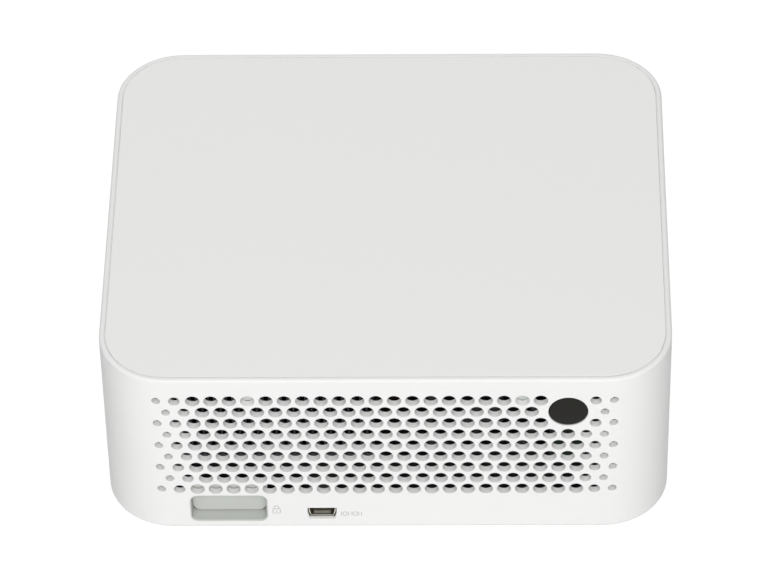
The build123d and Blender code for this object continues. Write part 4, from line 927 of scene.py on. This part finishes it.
window_x, window_z = 50.92 * mm, 47.4902 * mm
window_radius, window_opening = 5.5 * mm, 5.55 * mm
window_hole = circle(window_x, window_z, window_opening, 48)
vent_field(rear, [rear_loops[0], rear.opening(window_hole, wall, 0.15 * mm)], Rows=9,
           Furthest=1.0, Window_X=window_x, Window_Z=window_z, Window_Gap=7.93 * mm)
vent_field(front, [front_field], Rows=6,
           Furthest=10 * mm, Window_X=0.0, Window_Z=-1.0, Window_Gap=0.0)
shell.piece("shell_skin", "chassis", "white_shell", "body_shell", "rear_grille", "front_grille")

# %% [markdown]
# ## What sits in the rear wall
# The grey pocket has soft lips that lie flush in the white wall, and its back is a separate plate:
# the hairline round that plate is what draws the dark crease across the pocket. The window is a
# smoked disc, very slightly domed. Both are rings of points again, now ending in a filled middle.


# %% Pocket and window
dish = Skin()
lip, pocket_deep, hairline = 0.4 * mm, 3.8 * mm, 0.32 * mm
groove_deep, plate_round = 0.5 * mm, 0.25 * mm
rear.rings(dish, pocket_mouth, [(lip * sin(a), lip * (1 - cos(a)), a) for a in quarter]
           + [(lip, pocket_deep + groove_deep, pi / 2)])
plate = rounded(pocket_x, pocket_z + hairline / 2, pocket_wide - 2 * lip - 0.02 * mm,
                pocket_tall - 2 * lip - hairline, 2.4 * mm)
rear.rings(dish, plate, [(0, pocket_deep + groove_deep, -pi / 2),
                         (0, pocket_deep + plate_round, -pi / 2)]
           + [(plate_round * (1 - cos(a)), pocket_deep + plate_round * (1 - sin(a)), a - pi / 2)
              for a in quarter[1:]], cap=True)
dish.piece("pocket_dish", "chassis", "pocket_grey", "rear_pocket")

dome = Skin()
glass_back, glass_front, glass_round, swell_high = 1.6 * mm, 0.5 * mm, 0.2 * mm, 0.28 * mm
swell = [(window_radius * k / 8, 0.02 * mm + swell_high * (1 - k / 8) ** 2, -0.06 * (1 - k / 8))
         for k in range(1, 8)]
rear.rings(dome, circle(window_x, window_z, window_radius, 48),
           [(0.0, glass_back, -pi / 2), (0.0, glass_front, -pi / 2)]
           + [(glass_round * (1 - cos(a)), glass_front - glass_round * sin(a), a - pi / 2)
              for a in quarter[1:5]] + swell, cap=True)
dome.piece("window_dome", "chassis", "ir_smoke", "ir_window")

# %% [markdown]
# ## Pieces with a place of their own
# Small parts such as sockets, rings and marks are easiest to draw about their own middle. A place
# holds that middle and three directions, and one function stacks rings of a loop along the third.


# %% Stacks of rings in a place
class Place:
    """A spot with three directions: p across, q up and h out."""

    def __init__(self, at, across, up_way, out):
        self.at, self.ways = Vector(at), [Vector(v) for v in (across, up_way, out)]

    def point(self, p, q, h):
        return self.at + self.turn(p, q, h)

    def turn(self, p, q, h):
        return self.ways[0] * p + self.ways[1] * q + self.ways[2] * h


def stack(skin, place, loop, rows, low_cap=False, high_cap=False):
    """Rings of a loop at (inset, height, lean) rows; lean 0 faces sideways, a quarter turn out."""
    away = edge_normals(loop)
    points = [[place.point(p[0] - n.x * inset, p[1] - n.y * inset, h) for p, n in zip(loop, away)]
              for inset, h, _ in rows]
    normals = [[place.turn(n.x * cos(lean), n.y * cos(lean), sin(lean)) for n in away]
               for _, _, lean in rows]
    skin.bands(points, normals)
    for wanted, row, way in ((low_cap, 0, -1), (high_cap, -1, 1)):
        if wanted:
            skin.add(points[row], [place.turn(0, 0, way)] * len(loop), [range(len(loop))])


def rolled(low, high, roll):
    """Rows of a slab with both edges rolled."""
    return ([(roll * (1 - cos(a)), low + roll * (1 - sin(a)), -a) for a in reversed(quarter)]
            + [(roll * (1 - cos(a)), high - roll * (1 - sin(a)), a) for a in quarter])


def on_rear(x, z, out=0.0):
    """A place on the flat of the rear wall, or out from it."""
    return Place((x, -half_y - out, z), (1, 0, 0), (0, 0, 1), (0, -1, 0))


def slab(skin, place, loop, low, high, roll):
    stack(skin, place, loop, rolled(low, high, roll), True, True)

# %% [markdown]
# ### The service socket
# A small sheet-metal can stands just below the wall's face, with a rolled edge that catches the
# light, a pale tongue low in its mouth, and a black collar that closes the gap round it.

# %% The service socket
recess, socket_long, socket_lift = 1.0 * mm, 8.4 * mm, 0.28 * mm
half_wide, tall, knee = 3.85 * mm, 3.9 * mm, 1.75 * mm
edge_roll, skin_thick, lip_fall = 0.12 * mm, 0.4 * mm, 0.05 * mm
rear_face = on_rear(service_x, service_low + socket_lift)
socket_loop = socket_outline(0.0, 0.0, half_wide, tall, knee, 0.6 * mm)
lip_in = (skin_thick, -recess - lip_fall)
can = Skin()
stack(can, rear_face, socket_loop,
      [(0, -recess - socket_long, 0), (0, -recess - edge_roll, 0)], low_cap=True)
stack(can, rear_face, socket_loop,
      [(edge_roll * (1 - cos(a)), -recess - edge_roll * (1 - sin(a)), a) for a in quarter])
stack(can, rear_face, socket_loop, [(edge_roll, -recess, pi / 2), (*lip_in, pi / 2)])
stack(can, rear_face, socket_loop, [(*lip_in, pi), (skin_thick, -recess - socket_long, pi)])
can.piece("service_can", "chassis", "socket_metal", "service_port_shell")

tongue = Skin()
middle = tall * 0.3
inside = on_rear(service_x, rear_face.at.z + middle, -recess)
slab(tongue, inside, rounded(0, 0, 4.8 * mm, 1.1 * mm, 0.2 * mm, 3),
     -socket_long + 0.5 * mm, -0.2 * mm, 0.1 * mm)
slab(tongue, inside, rounded(0, 0.7 * mm, 6.2 * mm, 3.0 * mm, 0.3 * mm, 3),
     -socket_long + 0.6 * mm, -4.2 * mm, 0.1 * mm)
tongue.piece("service_tongue", "chassis", "socket_black", "service_port_tongue",
             finish="tongue_grey")

collar = Skin()
around = [(x - service_x, z - service_low - socket_lift) for x, z in grown(service_mouth, 0.2 * mm)]
for outer, inner, deep in ((around, socket_loop, 1.12 * mm),
                           (grown(socket_loop, 0.05 * mm), around, 1.6 * mm)):
    collar.bands([[rear_face.point(x, z, -deep) for x, z in loop] for loop in (outer, inner)],
                 [[Vector((0, -1, 0))] * len(loop) for loop in (outer, inner)])
collar.piece("service_collar", "chassis", "socket_black")

# %% [markdown]
# ### Pads behind the vents
# A few vents are light where the rest are dark, because something pale stands close behind them:
# the pocket's housing below, and two hooks of the lid above.

# %% Pads that show through the vents
pads = Skin()
hook_x, hook_z, pad_thick = 38.19 * mm, 51.9 * mm, 0.7 * mm
hook_pad = (hook_z, 4.8 * mm, 4.2 * mm, 2.4 * mm)
for x, z, wide, high, deep in ((pocket_x, 14.6 * mm, 22 * mm, 2.8 * mm, 2.6 * mm),
                               (-hook_x, *hook_pad), (hook_x, *hook_pad)):
    slab(pads, on_rear(0, 0), rounded(x, z, wide, high, 0.5 * mm, 3),
         -deep - pad_thick, -deep, 0.15 * mm)
pads.piece("vent_pads", "chassis", "pocket_grey")

# %% [markdown]
# ### Copies in a row and in a ring
# Contacts stand in a row and grip ridges in a ring. Each is one small block on many points, which
# is the plainest thing Geometry Nodes can do.


# %% Row and ring trees
def copies_tree(name, ring):
    """Blocks in a row along X, or standing round the Y axis."""
    group, tree, given = geometry_tree(name, Int="Count", Float="Reach, Wide, Long, High",
                                       Vector="Centre", Material="Finish")
    count, reach = given["Count"], given["Reach"]
    size = tree.join(given["Wide"], given["Long"], given["High"])
    block = tree.add("GeometryNodeMeshCube", {"Size": size})["Mesh"]
    turned = None
    if ring:
        points = tree.add("GeometryNodeMeshCircle", {"Vertices": count, "Radius": reach})[0]
        angle = tree.add("GeometryNodeInputIndex")[0] * (2 * pi) / count
        turned = tree.join(0.0, angle, 0.0)
        spot = tree.join(reach * angle.cosine(), 0.0, reach * angle.sine() * -1)
        points = move(tree, points, spot)
    else:
        points = tree.add("GeometryNodeMeshLine", {
            "Count": count, "Start Location": tree.join(reach * -1, 0.0, 0.0),
            "Offset": tree.join(reach, 0.0, 0.0)}, mode="END_POINTS")[0]
    values = {"Points": points, "Instance": block, "Rotation": turned}
    copies = tree.add("GeometryNodeInstanceOnPoints", values)[0]
    values = {"Geometry": copies, "Translation": given["Centre"]}
    end_tree(tree, tree.add("GeometryNodeTransform", values)[0], given["Finish"])
    return group


def copies(name, ring, body, slot, **inputs):
    tree = copies_tree(name + "_tree", ring)
    base = edge_mesh([[(0, 0), (mm, 0), (0, mm)]])
    made = run_tree(tree, base, Finish=finishes[slot], **inputs)
    made.name = name
    settle(name, made, body, slot)


copies("service_contacts", False, "chassis", "insert_brass", Count=5, Reach=1.6 * mm,
       Wide=0.42 * mm, Long=2.6 * mm, High=0.14 * mm,
       Centre=rear_face.point(0, middle + 0.55 * mm, -recess - 1.55 * mm))
copies("ring_ridges", True, "ring", "ring_grey", Count=72, Reach=11.3 * mm,
       Wide=1.5 * mm, Long=0.5 * mm, High=0.32 * mm, Centre=(lens_x, 66.65 * mm, lens_z))

# %% [markdown]
# ### Printed marks
# Beside the pocket and the socket are small pale prints. A print is a film of ink: ribbons a hair
# thick that follow a drawn line. The marks here are plain signs, a padlock and rings with strokes.


# %% Ribbons of ink
plastic("ink_grey", srgb(186, 187, 185), rough=0.6, depth=0.0, shine=0.15)
plastic("ink_dark", srgb(120, 121, 122), rough=0.6, depth=0.0, shine=0.15)


def ribbon(skin, place, line, width, closed=False):
    """A flat stroke along a line, a hair proud of what it is printed on."""
    count, hair = len(line), 0.03 * mm
    sides = []
    for k in range(count):
        before = line[k - 1] if closed or k else line[0]
        after = line[(k + 1) % count] if closed or k < count - 1 else line[-1]
        way = Vector((after[0] - before[0], after[1] - before[1])).normalized()
        sides.append(Vector((way.y, -way.x)) * width / 2)

    def edge(sign, height):
        return [place.point(p[0] + sign * s.x, p[1] + sign * s.y, height)
                for p, s in zip(line, sides)]

    face, way_r = [place.turn(0, 0, 1)] * count, [place.turn(s.x, s.y, 0) for s in sides]
    skin.bands([edge(1, hair), edge(-1, hair)], [face, face], closed)
    skin.bands([edge(1, 0), edge(1, hair)], [way_r, way_r], closed)
    skin.bands([edge(-1, 0), edge(-1, hair)], [[-n for n in way_r]] * 2, closed)


def arc_line(x, z, radius, first, last, count=20):
    angles = [first + (last - first) * k / count for k in range(count + 1)]
    return [(x + radius * cos(a), z + radius * sin(a)) for a in angles]


lock, lock_place, stroke = Skin(), on_rear(-31.4 * mm, 8.2 * mm), 0.22 * mm
ribbon(lock, lock_place, rounded(0, -0.5 * mm, 2.1 * mm, 1.8 * mm, 0.35 * mm, 3), stroke, True)
ribbon(lock, lock_place, [(-0.65 * mm, 0.4 * mm)] + arc_line(0, 1.0 * mm, 0.65 * mm, pi, 0)
       + [(0.65 * mm, 0.4 * mm)], stroke)
ribbon(lock, lock_place, [(0, -0.2 * mm), (0, -0.8 * mm)], 0.25 * mm)
lock.piece("lock_mark", "chassis", "pocket_grey", finish="ink_grey")

serial, serial_place, stroke = Skin(), on_rear(-10.1 * mm, 6.5 * mm), 0.2 * mm
for x in (-1.9, 1.0):
    loop = rounded(x * mm, 0, 1.1 * mm, 1.5 * mm, 0.5 * mm, 4)
    ribbon(serial, serial_place, loop, stroke, True)
for x in (-2.9, -0.9, 0.05, 2.0, 2.75):
    ribbon(serial, serial_place, [(x * mm, -0.8 * mm), (x * mm, 0.8 * mm)], stroke)
serial.piece("serial_mark", "chassis", "pocket_grey", finish="ink_grey")

# %% [markdown]
# The three controls carry the usual signs: power, source, less and more. Each mark rides its own
# button, so it moves in with it.

# %% Marks on the buttons
button_faces = {"power": (79.8, -30), "source": (79.8, -16), "volume": (79.3, 4)}
for body, (x, y) in button_faces.items():
    mark = Skin()
    cap = Place((x * mm, y * mm, button_z), (0, 1, 0), (0, 0, 1), (1, 0, 0))
    if body == "power":
        ribbon(mark, cap, arc_line(0, 0, 1.35 * mm, radians(125), radians(415), 28), 0.3 * mm)
        ribbon(mark, cap, [(0, 0.4 * mm), (0, 1.9 * mm)], 0.3 * mm)
    elif body == "source":
        tip = [(-0.2 * mm, 0.6 * mm), (0.55 * mm, 0), (-0.2 * mm, -0.6 * mm)]
        ribbon(mark, cap, rounded(0.3 * mm, 0, 2.6 * mm, 2.2 * mm, 0.3 * mm, 3), 0.28 * mm, True)
        ribbon(mark, cap, [(-2.1 * mm, 0), (0.5 * mm, 0)], 0.28 * mm)
        ribbon(mark, cap, tip, 0.28 * mm)
    else:
        out, half = 5 * mm, 0.9 * mm
        for sign in (-1, 1):
            ribbon(mark, cap, [(sign * out - half, 0), (sign * out + half, 0)], 0.32 * mm)
        ribbon(mark, cap, [(out, -half), (out, half)], 0.32 * mm)
    mark.piece(body + "_mark", body, "button_white", finish="ink_dark")
